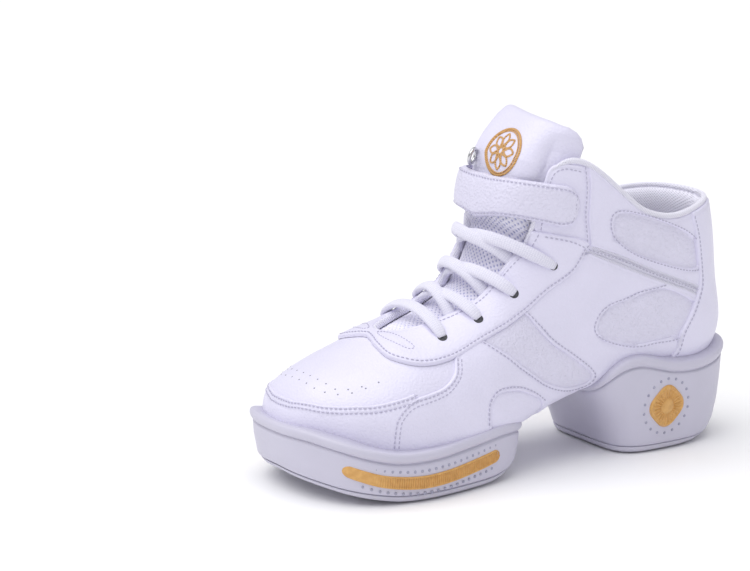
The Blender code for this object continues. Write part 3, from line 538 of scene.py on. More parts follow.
def studs(name, points, along, upward, size, material, roundness=2, slot="white_leather"):
    """Many small bodies on points, made into one plain mesh."""
    mesh = bpy.data.meshes.new(name)
    mesh.from_pydata(np.asarray(points).tolist(), [], [])
    for label, values in (("along", along), ("upward", upward)):
        held = mesh.attributes.new(label, "FLOAT_VECTOR", "POINT")
        held.data.foreach_set("vector", np.asarray(values, np.float32).ravel())
    made = bpy.data.objects.new(name, mesh)
    bpy.context.scene.collection.objects.link(made)
    grow = made.modifiers.new("studs", "NODES")
    grow.node_group = STUDS
    inputs = {item.name: item.identifier for item in STUDS.interface.items_tree if item.in_out == "INPUT"}
    for label, value in zip(("Length", "Width", "Height"), size):
        grow[inputs[label]] = float(value)
    grow[inputs["Roundness"]] = roundness
    grow[inputs["Finish"]] = material
    bpy.context.view_layer.update()
    plain = bpy.data.meshes.new_from_object(made.evaluated_get(bpy.context.evaluated_depsgraph_get()))
    made.modifiers.remove(grow)
    made.data = plain
    bpy.data.meshes.remove(mesh)
    plain.name = name
    if not plain.materials:
        plain.materials.append(material)
    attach(made, "root")
    return made


def on_skin(path, height, spacing, closed=False):
    """Even points along a path of (section, angle) over the leather, with their directions."""
    path = even_path(smooth_path(path, 6, closed), spacing, closed)
    points = skin(path[:, 0], path[:, 1], height)
    if closed:
        along = np.roll(points, -1, axis=0) - np.roll(points, 1, axis=0)
    else:
        along = np.gradient(points, axis=0)
    upward = skin(path[:, 0], path[:, 1], height + 0.001) - points
    return points, along, upward


STITCH, STITCH_SPACING = (0.00165, 0.00062, 0.00042), 0.00215


def stitching(name, lines, height, closed=False, spacing=STITCH_SPACING, size=STITCH):
    """Rows of stitches along paths over the leather."""
    found = [on_skin(line, height, spacing, closed) for line in lines]
    return studs(name, *(np.concatenate(part) for part in zip(*found)), size, thread_with_painted_shade)


def beside(path, distance):
    """A path moved sideways over the leather, away from the edge that it follows."""
    return moved_path(smooth_path(path, 1), distance, closed=False)


GUARD_ROWS = (0.0016, 0.0038)
guard_top = np.concatenate([sided(GUARD_EDGE, -1), [(1.355, 0)], sided(GUARD_EDGE[::-1], 1)])
guard_foot = [(4.9, 1.8), (4.9, 2.35), (2.5, 2.4), (0.6, 2.4), (0.06, 2.3), (0.05, 0), (0.06, -2.3),
              (0.6, -2.4), (2.5, -2.4), (4.9, -2.35), (4.9, -1.8)]
guard_outline = np.concatenate([smooth_path(guard_top, 4), guard_foot])
toe_guard = panel("toe_guard_leather", [guard_outline], -0.0002, 0.0010, smooth_leather, channels=GUARD_ROWS)
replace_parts(toe_guard, "toe_guard")
way = 1 if beside(guard_top, 0.001)[10, 0] < guard_top[10, 0] else -1
stitching("toe_guard_stitches", [beside(guard_top, way * d) for d in GUARD_ROWS], 0.00112)

# Pinholes of the toe
# Two rows of small holes punched through the vamp behind the toe guard, to let the foot breathe.
HOLE_ROWS = (((2.21, .22), (2.31, .57), (2.79, .77), (3.34, .82), (3.84, .81), (4.14, .80)),
             ((2.60, .20), (2.65, .38), (2.81, .65), (3.10, .73), (3.62, .77)))
# The holes are not cut: each is a flat dark stud on the leather, painted shade standing in for the depth of
# the hole, mottled a little by a noise.
pinhole_painted_shade, tree, shader, where = material_nodes("painted shade in a pinhole", (0.30, 0.30, 0.34), 0.8)
shade_mottle = pattern(tree, where, "noise", 900)
tree.links.new(ramp(tree, shade_mottle.outputs["Fac"], 0.3, 0.7, (0.25, 0.25, 0.29), (0.36, 0.36, 0.40)),
               shader.inputs["Base Color"])
HOLE, HOLE_SPACING = (0.00085, 0.00085, 0.00030), 0.0062
found = []
for row in HOLE_ROWS:
    both = np.concatenate([sided(row[::-1], -1), sided(row, 1)])
    found.append(on_skin(both, 0.0, HOLE_SPACING))
studs("toe_pinholes", *(np.concatenate(part) for part in zip(*found)), HOLE, pinhole_painted_shade, 2)

# Quarters
# The side panels, one to each side, from the vamp seam to the heel. They overlap the vamp and the toe
# guard with two rows of stitches, and have turned-edge windows over insets of grained leather.
VAMP_SEAM = ((6.60, .84), (6.34, .95), (6.18, 1.11), (5.86, 1.19), (5.44, 1.20), (4.80, 1.20), (4.36, 1.32),
             (4.16, 1.53), (4.10, 2.09), (4.12, 2.45))
UNDERSIDE = ((5.5, 2.72), (7.5, 2.86), (9.5, 2.90), (11.5, 3.0), (13.0, 3.12), (13.2, 3.12))
UNDER_EYESTAY = ((12.0, 1.02), (10.9, .98), (9.0, .93), (7.4, .82))
BAND_BELOW = ((13.24, 2.60), (13.27, 2.21), (13.25, 2.02), (13.05, 1.70), (12.87, 1.40), (12.71, 1.17))
DIAGONAL = ((7.30, .92), (8.10, 1.00), (8.90, 1.06), (9.05, 1.39), (9.17, 1.64), (9.41, 1.95), (9.55, 2.16),
            (9.55, 2.27), (9.37, 2.33), (8.98, 2.24), (8.62, 2.05), (8.34, 1.79), (7.92, 1.39))
REAR = ((12.93, 1.83), (12.27, 1.66), (11.51, 1.59), (10.89, 1.61), (10.47, 1.71), (10.29, 1.82),
        (10.35, 1.93), (10.65, 2.05), (11.19, 2.08), (11.9, 2.12), (12.3, 2.36), (12.8, 2.40),
        (13.02, 2.15))
DOME = ((7.00, 2.07), (7.06, 1.82), (7.18, 1.73), (7.38, 1.73), (7.84, 1.89), (8.16, 2.07), (8.36, 2.24),
        (8.2, 2.5), (7.6, 2.62), (7.1, 2.45))


def grown_path(path, distance, closed=True):
    """A path moved away from its own middle by a distance in metres."""
    middle = path.mean(axis=0)
    moved = [moved_path(path, way * distance, closed) for way in (-1, 1)]
    return max(moved, key=lambda found: np.linalg.norm(found - middle, axis=1).sum())


for side, hand in ((-1, "outer"), (1, "inner")):
    edge = np.concatenate([smooth_path(VAMP_SEAM, 4), UNDERSIDE, smooth_path(BAND_BELOW, 4), UNDER_EYESTAY])
    windows = [smooth_path(path, 4, closed=True) for path in (DIAGONAL, REAR, DOME)]
    outlines = [sided(path, side) for path in (edge, *windows)]
    panel(f"quarter_{hand}", outlines, -0.0002, 0.0011, smooth_leather, edge=0.0011)
    for name, path, stuff in (("diagonal", windows[0], grained_leather),
                              ("rear", windows[1], grained_leather),
                              ("dome", windows[2], smooth_leather)):
        panel(f"{name}_inset_{hand}", [grown_path(sided(path, side), SEAM_MARGIN)], -0.0003, 0.00035, stuff,
              shape=lambda at, distance: 0.0004 * np.clip((distance - 0.002) / 0.006, 0, 1))
    seam = sided(VAMP_SEAM, side)
    lines = [beside(seam, -d * side)[1:] for d in (SEAM_MARGIN, SECOND_ROW)]
    for path in (DIAGONAL[2:] + DIAGONAL[:1], REAR[:10], DOME[:7]):
        lines.append(grown_path(sided(path, side), SEAM_MARGIN, closed=False))
    stitching(f"quarter_stitches_{hand}", lines, 0.00115)

# Ankle cuff
# The collar above the stretch band: a front flap under the strap, and behind its upright seam a cuff of
# smooth leather with an oval window over grained leather.
SEAM = ((15.72, 1.06), (14.97, 1.10), (13.81, 1.13), (12.97, 1.16))
BAND_ABOVE = ((12.97, 1.16), (13.19, 1.40), (13.29, 1.69), (13.43, 2.02), (13.49, 2.23), (13.5, 2.7),
              (13.5, 3.12))
OVAL = ((14.37, 1.34), (14.59, 1.41), (14.69, 1.55), (14.73, 1.79), (14.67, 2.04), (14.47, 2.17),
        (14.01, 2.19), (13.79, 2.03), (13.63, 1.79), (13.53, 1.54), (13.67, 1.39), (13.97, 1.34))
FLAP = ((12.35, .77), (13.4, .765), (14.85, .765), (15.20, .77), (15.50, .81), (15.70, .93), (15.70, 1.08),
        (14.97, 1.13), (13.81, 1.16), (12.8, 1.18), (12.4, 1.0))
FLAP_LINE = ((12.6, .815), (13.4, .81), (14.7, .81), (15.2, .83), (15.45, .90), (15.5, 1.0))
for side, hand in ((-1, "outer"), (1, "inner")):
    top_angles = np.linspace(3.12, 1.06, 60)
    top = np.column_stack([end_section(top_angles) - 0.06, top_angles])
    edge = np.concatenate([smooth_path(SEAM, 4), smooth_path(BAND_ABOVE, 4)[1:], top])
    oval = smooth_path(OVAL, 4, closed=True)
    outlines = [sided(edge, side), sided(oval, side)]
    panel(f"cuff_{hand}", outlines, -0.0002, 0.0013, smooth_leather, edge=0.0012)
    middle = oval.mean(axis=0)
    inset = sided(middle + (oval - middle) * 1.08, side)
    panel(f"cuff_inset_{hand}", [inset], -0.0003, 0.0004, grained_leather,
          shape=lambda at, distance: 0.0006 * np.clip((distance - 0.0025) / 0.006, 0, 1))
    flap = sided(smooth_path(FLAP, 4, closed=True), side)
    panel(f"front_flap_{hand}", [flap], -0.0002, 0.0006, smooth_leather)
    lines = [moved_path(sided(SEAM, side), SEAM_MARGIN * side, closed=False),
             moved_path(sided(BAND_ABOVE, side), SEAM_MARGIN * side, closed=False),
             middle + (oval - middle) * 1.085]
    lines[2] = sided(np.concatenate([lines[2], lines[2][:1]]), side)
    stitching(f"cuff_stitches_{hand}", lines, 0.00135)
    stitching(f"flap_stitches_{hand}", [sided(FLAP_LINE, side)], 0.00065)

# Stretch band
# A strip of ribbed elastic knit let in between quarter and cuff, so that the ankle can bend.
knit_white = (0.79, 0.775, 0.91)


def knit(name, tone, pitch, depth):
    """Close knit: rows of small loops that cross at a slant, with painted shade in the hollows between the
    loops.
    """
    made, tree, shader, where = material_nodes(name, tone, 0.85)
    shader.inputs["Sheen Weight"].default_value = 0.25
    shader.inputs["Sheen Roughness"].default_value = 0.5
    waves = []
    for turn in (0.7, -0.7):
        spread = tree.nodes.new("ShaderNodeMapping")
        spread.inputs["Rotation"].default_value = (0, turn, 0.3)
        tree.links.new(where, spread.inputs["Vector"])
        wave = tree.nodes.new("ShaderNodeTexWave")
        wave.bands_direction = "X"
        wave.inputs["Scale"].default_value = 1 / (pitch * math.pi)
        wave.inputs["Distortion"].default_value = 0.6
        wave.inputs["Detail"].default_value = 1.0
        tree.links.new(spread.outputs["Vector"], wave.inputs["Vector"])
        waves.append(wave.outputs["Fac"])
    both = tree.nodes.new("ShaderNodeMath")
    both.operation = "MAXIMUM"
    tree.links.new(waves[0], both.inputs[0])
    tree.links.new(waves[1], both.inputs[1])
    tree.links.new(ramp(tree, both.outputs["Value"], 0.2, 0.8, tuple(c * 0.90 for c in tone), tone),
                   shader.inputs["Base Color"])
    bump(tree, shader, both.outputs["Value"], depth, 0.9)
    return made


band_knit = knit("elastic knit", knit_white, 0.0008, 0.0003)
BAND_ROWS, BAND_COLUMNS, BAND_RIBS = 150, 33, 3
turns_of = np.linspace(1.15, 2.45, BAND_ROWS)[:, None]
below, above = np.array(BAND_BELOW[::-1]), np.array(BAND_ABOVE[:5])
lower = np.interp(turns_of, below[:, 1], below[:, 0]) - 0.08
higher = np.interp(turns_of, above[:, 1], above[:, 0]) + 0.08
across = np.linspace(0, 1, BAND_COLUMNS)[None, :]
section = lower + (higher - lower) * across
ribs = np.abs(np.sin(across * BAND_RIBS * math.pi)) ** 0.7
ribs = 0.0003 + 0.0008 * ribs * np.clip((turns_of - 1.16) / 0.06, 0, 1)
for side, hand in ((-1, "outer"), (1, "inner")):
    band = piece(f"stretch_band_{hand}", skin(section, side * turns_of, ribs),
                 grid_faces(BAND_ROWS, BAND_COLUMNS), band_knit, outward=True)
    if side > 0:
        band.data.flip_normals()

# Eyestay
# The lace panel: one horseshoe of smooth leather round the throat, with a stitched edge, a stitched leaf
# at its front, and four punched eyelets on each side.
EYESTAY_EDGE = ((4.86, 0), (4.80, .12), (4.72, .26), (4.72, .52), (5.06, .73), (5.56, .86), (6.30, .94),
                (7.40, .98), (9.03, 1.12), (10.89, 1.14), (12.45, 1.14), (12.93, 1.16), (13.09, 1.12),
                (12.90, 1.0), (12.41, .80))
EYELETS = ((6.32, 0.60), (7.50, 0.68), (9.12, 0.83), (11.08, 0.94))
throat = np.array([(s, a) for s, a in THROAT if s < 12.4])
edge = smooth_path(EYESTAY_EDGE, 4)
throat_edge = np.concatenate([[(12.25, .737)], (throat - (0, 0.012))[::-1][:-1], [(5.20, 0.0)]])
throat_edge[:, 1] = np.maximum(throat_edge[:, 1], 0)
outer_half = np.concatenate([edge, smooth_path(throat_edge, 3)])
horseshoe = np.concatenate([sided(outer_half, -1), sided(outer_half[::-1], 1)[1:-1]])
eyestay = panel("eyestay_leather", [horseshoe], 0.0002, 0.0021, smooth_leather, edge=0.0012)
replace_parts(eyestay, "eyestay")
lines = []
for side in (-1, 1):
    edge_line = beside(EYESTAY_EDGE, SEAM_MARGIN)
    if edge_line[6, 1] > EYESTAY_EDGE[6][1]:
        edge_line = beside(EYESTAY_EDGE, -SEAM_MARGIN)
    lines.append(sided(edge_line[:12], side))
    lines.append(sided(((12.78, 1.11), (12.72, 1.02), (12.36, .86)), side))
    inner_line = np.array([(s, a + 0.055) for s, a in throat[4:]] + [(12.2, .80)])
    lines.append(sided(inner_line, side))
stitching("eyestay_stitches", lines, 0.00215)
LEAF = ((5.10, .10), (5.20, .15), (5.33, .28), (5.43, .42), (5.50, .58), (5.34, .58), (5.20, .48),
        (5.07, .32), (5.03, .17))
stitching("eyestay_leaf", [sided(LEAF, side) for side in (-1, 1)], 0.00215, closed=True, spacing=0.0016,
          size=(0.0012, 0.0005, 0.0004))
points, along, upward = [], [], []
for at, angle in EYELETS:
    for side in (-1, 1):
        outside = angle + 0.042
        middle = skin(at, side * outside, 0.00212)
        points.append(middle)
        along.append(skin(at + 0.05, side * outside, 0.00212) - middle)
        upward.append(skin(at, side * outside, 0.00312) - middle)
# The eyelets are not cut either: each is a near-black flat stud on the eyestay, painted shade standing in
# for the open hole.
eyelet_painted_shade, tree, shader, where = material_nodes("painted shade in an eyelet", (0.06, 0.06, 0.07), 0.9)
tree.links.new(ramp(tree, pattern(tree, where, "noise", 700).outputs["Fac"], 0.3, 0.7, (0.04, 0.04, 0.05),
                    (0.10, 0.10, 0.11)), shader.inputs["Base Color"])
EYELET_HOLE = (0.0046, 0.0046, 0.0004)
studs("eyelet_holes", points, along, upward, EYELET_HOLE, eyelet_painted_shade, 3)

# Back stay
# A strip of smooth leather over the heel seam, from the collar down into the heel unit.
STAY_EDGE = ((15.62, 2.10), (15.2, 2.10), (14.51, 2.17), (13.73, 2.19), (12.99, 2.11), (11.99, 2.11),
             (11.09, 2.30), (10.6, 2.45))
stay = smooth_path(STAY_EDGE, 4)
stay = stay[stay[:, 0] < end_section(stay[:, 1]) - 0.12]
top_angles = np.linspace(2.11, 2 * math.pi - 2.11, 60)
top = np.column_stack([end_section(top_angles) - 0.05, top_angles])
mirror = np.column_stack([stay[:, 0], 2 * math.pi - stay[:, 1]])
outline = np.concatenate([stay[::-1], top, mirror, [(10.4, 3.5), (10.4, 2.8)]])
back_stay = panel("back_stay_leather", [outline], 0.0, 0.0023, smooth_leather, edge=0.0012)
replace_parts(back_stay, "back_stay")
lines = []
stay_line = np.array(STAY_EDGE)
for path in (stay_line, np.column_stack([stay_line[:, 0], 2 * math.pi - stay_line[:, 1]])):
    toward = SEAM_MARGIN if path[0, 1] < math.pi else -SEAM_MARGIN
    moved = moved_path(path, toward, closed=False)
    if abs(moved[3, 1] - math.pi) > abs(path[3, 1] - math.pi):
        moved = moved_path(path, -toward, closed=False)
    moved[:, 0] = np.minimum(moved[:, 0], end_section(moved[:, 1]) - 0.2)
    lines.append(moved)
stitching("back_stay_stitches", lines, 0.00235)

# Lining and collar pad
# White knit bonded inside the leather. Round the ankle it is puffed up over foam, and its edge is turned
# outwards over the top line as a knitted piping.
lining_knit = knit("lining knit", (0.88, 0.865, 0.98), 0.0009, 0.0003)
turns = np.linspace(-math.pi, math.pi, 221)[:-1]
rows = np.concatenate([np.linspace(0.03, 0.8, 60), np.linspace(0.81, 1, 40)])
section = rows[:, None] * (end_section(turns) - 0.03)[None, :]
faces = grid_faces(len(rows), len(turns), closed=True)
lining = piece("lining", skin(section, turns[None, :], -WALL), faces, lining_knit, outward=True)
sample = lining.data.polygons[9000]
if np.dot(np.array(sample.normal), np.array(sample.center) - (0, 0, .05)) > 0:
    lining.data.flip_normals()

PAD_ANGLE = 0.79
half_turns = np.linspace(PAD_ANGLE, math.pi, 130)
turns = np.concatenate([half_turns, np.linspace(math.pi, 2 * math.pi - PAD_ANGLE, 130)[1:]])
rows = np.linspace(0, 1, 31)
reach = np.interp(np.abs(turns - math.pi), (0, 1.2, 2.0, math.pi - PAD_ANGLE), (1.75, 1.6, 1.5, 1.3))
section = (end_section(turns) - 0.02)[None, :] - reach[None, :] * rows[:, None]
swell = 0.0052 * np.sin(math.pi * rows**0.62) ** 0.8
tufts = 0.00018 * np.sin(turns * 130)[None, :] * np.sin(rows * 60)[:, None]
fade = np.clip((turns - PAD_ANGLE) / 0.3, 0, 1) * np.clip((2 * math.pi - PAD_ANGLE - turns) / 0.3, 0, 1)
inner = skin(section, turns[None, :], -0.0012 - swell[:, None] * (0.35 + 0.65 * fade)[None, :] + tufts)
outer = skin(section, turns[None, :], -0.0010)
ring = np.concatenate([inner, outer[::-1]])
count = len(turns)
last = (len(ring) - 1) * count
faces = grid_faces(len(ring), count)
faces += [(j, last + j, last + j + 1, j + 1) for j in range(count - 1)]
faces.append(tuple(i * count for i in range(len(ring))))
faces.append(tuple(i * count + count - 1 for i in range(len(ring))))
collar_pad = piece("collar_pad", ring, faces, lining_knit, merge=1e-6)


def sweep(name, points, upward, width, height, material, sides=12, closed=False, taper=None, squareness=2.0):
    """A cord, welt or piping: an oval carried along a path, with a map of its length and girth."""
    points, upward = np.asarray(points, float), np.asarray(upward, float)
    if closed:
        along = np.roll(points, -1, axis=0) - np.roll(points, 1, axis=0)
    else:
        along = np.gradient(points, axis=0)
    along /= np.linalg.norm(along, axis=1, keepdims=True) + 1e-12
    upward = upward - (upward * along).sum(axis=1, keepdims=True) * along
    upward /= np.linalg.norm(upward, axis=1, keepdims=True) + 1e-12
    wide = np.cross(along, upward)
    size = np.ones(len(points)) if taper is None else np.asarray(taper)
    turn = np.linspace(0, 2 * math.pi, sides, endpoint=False)
    cosine = np.sign(np.cos(turn)) * np.abs(np.cos(turn)) ** (2 / squareness)
    sine = np.sign(np.sin(turn)) * np.abs(np.sin(turn)) ** (2 / squareness)
    rings = (points[:, None] + wide[:, None] * (cosine * width / 2)[None, :, None] * size[:, None, None]
             + upward[:, None] * (sine * height / 2)[None, :, None] * size[:, None, None])
    count = len(points)
    faces = grid_faces(count, sides, closed=True)
    if closed:
        faces += [((count - 1) * sides + j, (count - 1) * sides + (j + 1) % sides, (j + 1) % sides, j)
                  for j in range(sides)]
    else:
        faces += [tuple(range(sides)), tuple((count - 1) * sides + j for j in range(sides - 1, -1, -1))]
    made = piece(name, rings, faces, material)
    gone = np.concatenate([[0], np.cumsum(np.linalg.norm(np.diff(points, axis=0), axis=1))])
    layer = made.data.uv_layers.new(name="along")
    corner = np.empty(len(made.data.loops), int)
    made.data.loops.foreach_get("vertex_index", corner)
    layer.data.foreach_set("uv", np.column_stack([gone[corner // sides], (corner % sides) / sides]).ravel())
    return made


path = np.column_stack([end_section(turns), turns])
path = even_path(path, 0.0012, closed=False)
points = skin(path[:, 0], path[:, 1], -0.0001)
points = np.concatenate([points[:1], (points[:-2] + points[1:-1] + points[2:]) / 3, points[-1:]])
upward = skin(path[:, 0] + 0.1, path[:, 1], 0) - points
ends = np.minimum(np.arange(len(points)), np.arange(len(points))[::-1])
sweep("collar_piping", points, upward, 0.0030, 0.0030, lining_knit, taper=np.clip(ends / 9, 0.2, 1) ** 0.5)

inner_throat = np.array([(s, a) for s, a in THROAT if s < 14.1] + [(14.1, .757)])
inner_throat[0, 1] = 0.0
path = np.concatenate([sided(inner_throat[::-1], -1), sided(inner_throat, 1)[1:]])
path = even_path(smooth_path(path, 4), 0.0012, closed=False)
points = skin(path[:, 0], path[:, 1], -0.0004)
upward = skin(path[:, 0], path[:, 1], 0.001) - points
sweep("throat_binding", points, upward, 0.0022, 0.0036, lining_knit)

# Insole
# The foot bed: a dished board under white knit, lying on the turned-in edge of the upper.
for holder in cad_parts["insole"].material_slots:
    holder.material = lining_knit

# Tongue
# A padded tongue under the lacing: open honeycomb mesh below the strap, smooth padded leather above it,
# carrying an embroidered rosette in a ring.
tongue_mesh, tree, shader, where = material_nodes("honeycomb mesh", (0.78, 0.78, 0.85), 0.75)
shader.inputs["Sheen Weight"].default_value = 0.2
# Where the openness mask is high the mesh is coloured a dark blue-grey: painted shade inside the open cells,
# which are also sunk a little.
openness = tree.nodes.new("ShaderNodeAttribute")
openness.attribute_name = "openness"
tree.links.new(ramp(tree, openness.outputs["Fac"], 0.25, 0.85, (0.88, 0.86, 0.98), (0.46, 0.47, 0.70)),
               shader.inputs["Base Color"])
fibre = pattern(tree, where, "noise", 3200, Detail=3.0)
bump(tree, shader, fibre.outputs["Fac"], 0.0001, 0.6)


def tongue_offsets(section, angle, across):
    """The front and back of the tongue, measured from the form."""
    above = np.clip((section - 16.1) / 0.8, 0, 1)
    clear = np.clip(1 - (np.abs(angle) / 0.73) ** 7, 0, 1)
    tucked = 0.0010 * np.clip((np.abs(angle) - 0.5) / 0.2, 0, 1)
    crown = clear + (1 - across**4 - clear) * above
    under_strap = np.interp(section, (11.2, 12.0, 14.5, 15.3, 17.2, 18.0), (0, 1, 1, 2.4, 2.2, 1.4))
    front = -WALL - 2 * GAP + under_strap * 0.0019 * crown - tucked
    pad = np.interp(section, (5.7, 12, 15, 16.5, 17.5, 18.0), (0, 0, 0.35, 1, 0.8, 0.2))
    return front, front - 0.0032 - pad * 0.0060 * crown


FRONT_COLUMNS, BACK_STEP = 135, 6
MESH_END, CELL_WIDTH, CELL_LENGTH, CELL_DEPTH = 12.9, 0.0030, 0.0026, 0.0006
last_column = FRONT_COLUMNS - 1
across = np.linspace(-1, 1, FRONT_COLUMNS)[None, :]
rounded_end = 1 - 0.03 * np.cos(np.linspace(0, math.pi / 2, 14))[1:]
share = np.concatenate([np.linspace(0, 0.97, 290), rounded_end])[:, None]
last = np.interp(across, (-1, -0.97, -0.91, -0.8, -0.6, 0, 0.5, 0.8, 0.93, 1),
                 (16.55, 16.9, 17.15, 17.36, 17.5, 17.75, 18, 17.95, 17.75, 17.4))
section = 5.12 + share * (last - 5.12)
half = np.interp(section, (5.12, 5.7, 6.3, 7.5, 9.1, 11.1, 13, 15, 16.5, 17.6, 18.0),
                 (0.30, 0.42, 0.50, 0.60, 0.70, 0.82, 0.95, 1.02, 1.02, 0.95, 0.80))
angle = half * across
front, behind = tongue_offsets(section, angle, across)
rounding = np.sqrt(np.clip(1 - ((share - 0.97) / 0.03).clip(0) ** 2, 0.02, 1)) * np.sqrt(1 - across**10)
middle = (front + behind) / 2
thick = (front - behind) / 2 * rounding
flat = skin(section, angle, middle)
u = np.cumsum(np.linalg.norm(np.diff(flat, axis=1, prepend=flat[:, :1]), axis=2), axis=1)
ridge = last_column // 2
u = u - u[:, ridge:ridge + 1]
v = np.cumsum(np.linalg.norm(np.diff(flat[:, ridge], axis=0, prepend=flat[:1, ridge]), axis=1))[:, None]
cells = np.cos(2 * math.pi * u / CELL_WIDTH) * np.cos(2 * math.pi * v / CELL_LENGTH)
openness = np.clip((cells - 0.05) / 0.7, 0, 1) * (section < MESH_END)
front_points = skin(section, angle, middle + thick - CELL_DEPTH * openness)
coarse = np.arange(last_column - BACK_STEP, 0, -BACK_STEP)
behind_points = skin(section[:, coarse], angle[:, coarse], (middle - thick)[:, coarse])
ring = np.concatenate([front_points, behind_points], axis=1)
columns = ring.shape[1]
faces = grid_faces(len(ring), columns, closed=True)
marks = [0, *coarse[::-1], last_column]
for start, stop in zip(marks, marks[1:]):
    between = [at for at in (stop, start) if 0 < at < last_column]
    rim = [*range(start, stop + 1), *(FRONT_COLUMNS + (coarse[0] - at) // BACK_STEP for at in between)]
    faces.append(tuple(rim))
    faces.append(tuple((len(ring) - 1) * columns + j for j in rim[::-1]))
tongue = piece("tongue_body", ring, faces, tongue_mesh)
held = tongue.data.attributes.new("openness", "FLOAT", "POINT")
everywhere = np.concatenate([openness, np.zeros_like(behind_points[..., 0])], axis=1)
held.data.foreach_set("value", everywhere.astype(np.float32).ravel())
tongue.data.materials.append(smooth_leather)
tongue.data.materials.append(lining_knit)
centres = np.array([max(face.vertices) for face in tongue.data.polygons])
above_mesh = section[centres // columns, ridge] > MESH_END + 0.05
kinds = np.where(centres % columns >= FRONT_COLUMNS, 2, np.where(above_mesh, 1, 0))
tongue.data.polygons.foreach_set("material_index", kinds.astype(np.int32))
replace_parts(tongue, "tongue")

gold_thread, tree, shader, where = material_nodes("gold thread", (0.66, 0.36, 0.11), 0.42)
twist = tree.nodes.new("ShaderNodeTexWave")
twist.inputs["Scale"].default_value = 520
twist.inputs["Distortion"].default_value = 2.0
twist.bands_direction = "DIAGONAL"
tree.links.new(where, twist.inputs["Vector"])
# The twist is coloured dark in its grooves and bright on its crests: painted shade and painted highlight of
# the twist.
tree.links.new(ramp(tree, twist.outputs["Fac"], 0.2, 0.8, (0.50, 0.24, 0.06), (0.76, 0.44, 0.15)),
               shader.inputs["Base Color"])
bump(tree, shader, twist.outputs["Fac"], 0.00015, 0.8)
shader.inputs["Sheen Weight"].default_value = 0.3
EMBLEM = (15.46, -0.14)
over, around = local_scale(*EMBLEM)


def on_tongue(flat_points, lift):
    """Points and normals on the front of the tongue, from millimetres round the middle of the emblem."""
    flat_points = np.asarray(flat_points, float) / 1000
    at = EMBLEM[0] + flat_points[:, 1] / over
    turned = EMBLEM[1] + flat_points[:, 0] / around
    front = tongue_offsets(at, turned, turned / 1.02)[0]
    points = skin(at, turned, front + lift)
    return points, skin(at, turned, front + lift + 0.001) - points


circle = np.linspace(0, 2 * math.pi, 96, endpoint=False)
unit_circle = np.column_stack([np.cos(circle), np.sin(circle)])
strands = [(unit_circle * radius, width) for radius, width in ((11.3, 0.0014), (10.2, 0.0007))]
for petal in range(8):
    lean = petal * math.pi / 4
    t = np.linspace(0, 1, 30)
    for bend in (-1, 1):
        distance, spread = 1.6 + 7.0 * t, bend * 0.36 * np.sin(math.pi * t)
        bow = np.column_stack([np.cos(lean + spread), np.sin(lean + spread)]) * distance[:, None]
        strands.append((bow, 0.0010))
strands.append((unit_circle * 1.7, 0.0010))
for number, (strand, width) in enumerate(strands):
    points, upward = on_tongue(strand, 0.0001)
    sweep(f"rosette_{number}", points, upward, width, 0.0008, gold_thread, sides=8,
          closed=len(strand) == len(circle))

# Ankle strap
# A band of grained leather over the tongue, folded at its edges and stitched all round, with a rounded end
# that is pressed down on the outer flap.
STRAP_WIDTH, STRAP_THICKNESS, STRAP_SEAM = 0.0220, 0.0030, 0.82
round_end = -1.045 + 0.12 * (1 - np.cos(np.linspace(0, math.pi / 2, 26)))
turn = np.concatenate([round_end, np.linspace(-0.92, 1.10, 150)])
across = np.sin(np.linspace(-1, 1, 49) * math.pi / 2)[None, :]


def strap_place(turn, across):
    """Section, and the strap's inner and outer offsets, for a turn round the ankle and a place across."""
    middle = 13.05 + 1.18 * (np.abs(turn) / 1.1) ** 1.5
    spacing = np.interp(np.abs(turn), (0, 1.1), (0.0085, 0.0135))
    narrow = np.sqrt(np.clip(1 - ((-0.90 - turn) / 0.145).clip(0, 1) ** 2.2, 0.0, 1))
    at = middle + across * narrow * STRAP_WIDTH / 2 / spacing
    low = 2 * GAP + np.interp(turn, (-0.7, -0.2, 0.4, 0.9), (0, 0.0004, 0.0018, 0))
    return at, low


at, low = strap_place(turn[:, None], across)
bulge = STRAP_THICKNESS * (0.55 + 0.45 * (1 - np.abs(across) ** 6))
edge_fall = np.sqrt(np.clip(1 - np.abs(across) ** 14, 0, 1))
end_fall = np.sqrt(np.clip(1 - ((-1.0 - turn) / 0.045).clip(0, 1) ** 3, 0.02, 1))[:, None]
across_line = np.abs(np.abs(across) - STRAP_SEAM)
channel = 0.00035 * np.exp(-(across_line / 0.04) ** 2)
outer_face = skin(at, turn[:, None], low + bulge * edge_fall * end_fall - channel)
inner_face = skin(at, turn[:, None], low + 0 * at)
ring = np.concatenate([outer_face, inner_face[:, ::-1]], axis=1)
columns = ring.shape[1]
faces = grid_faces(len(ring), columns, closed=True)
faces += [tuple(range(columns)), tuple((len(ring) - 1) * columns + j for j in range(columns - 1, -1, -1))]
strap = piece("ankle_strap", ring, faces, grained_leather, merge=1e-6)
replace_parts(strap, "strap")
round_end = -0.92 - 0.085 * np.sin(np.linspace(0, math.pi / 2, 12))
edge_turn = np.concatenate([np.linspace(1.05, -0.92, 60), round_end])
line = [(t, STRAP_SEAM) for t in edge_turn] + [(-1.008, 0.45), (-1.012, 0), (-1.008, -0.45)]
line += [(t, -STRAP_SEAM) for t in edge_turn[::-1]]
line = np.array(line)
at, low = strap_place(line[:, 0], line[:, 1])
rough_path = skin(at, line[:, 0], low + STRAP_THICKNESS * 0.94)
gone = np.concatenate([[0], np.cumsum(np.linalg.norm(np.diff(rough_path, axis=0), axis=1))])
even = np.arange(0, gone[-1], STITCH_SPACING)
points = np.column_stack([np.interp(even, gone, rough_path[:, k]) for k in range(3)])
outward_path = skin(at, line[:, 0], low + 0.005) - rough_path
upward = np.column_stack([np.interp(even, gone, outward_path[:, k]) for k in range(3)])
studs("strap_stitches", points, np.gradient(points, axis=0), upward, STITCH, thread_with_painted_shade)

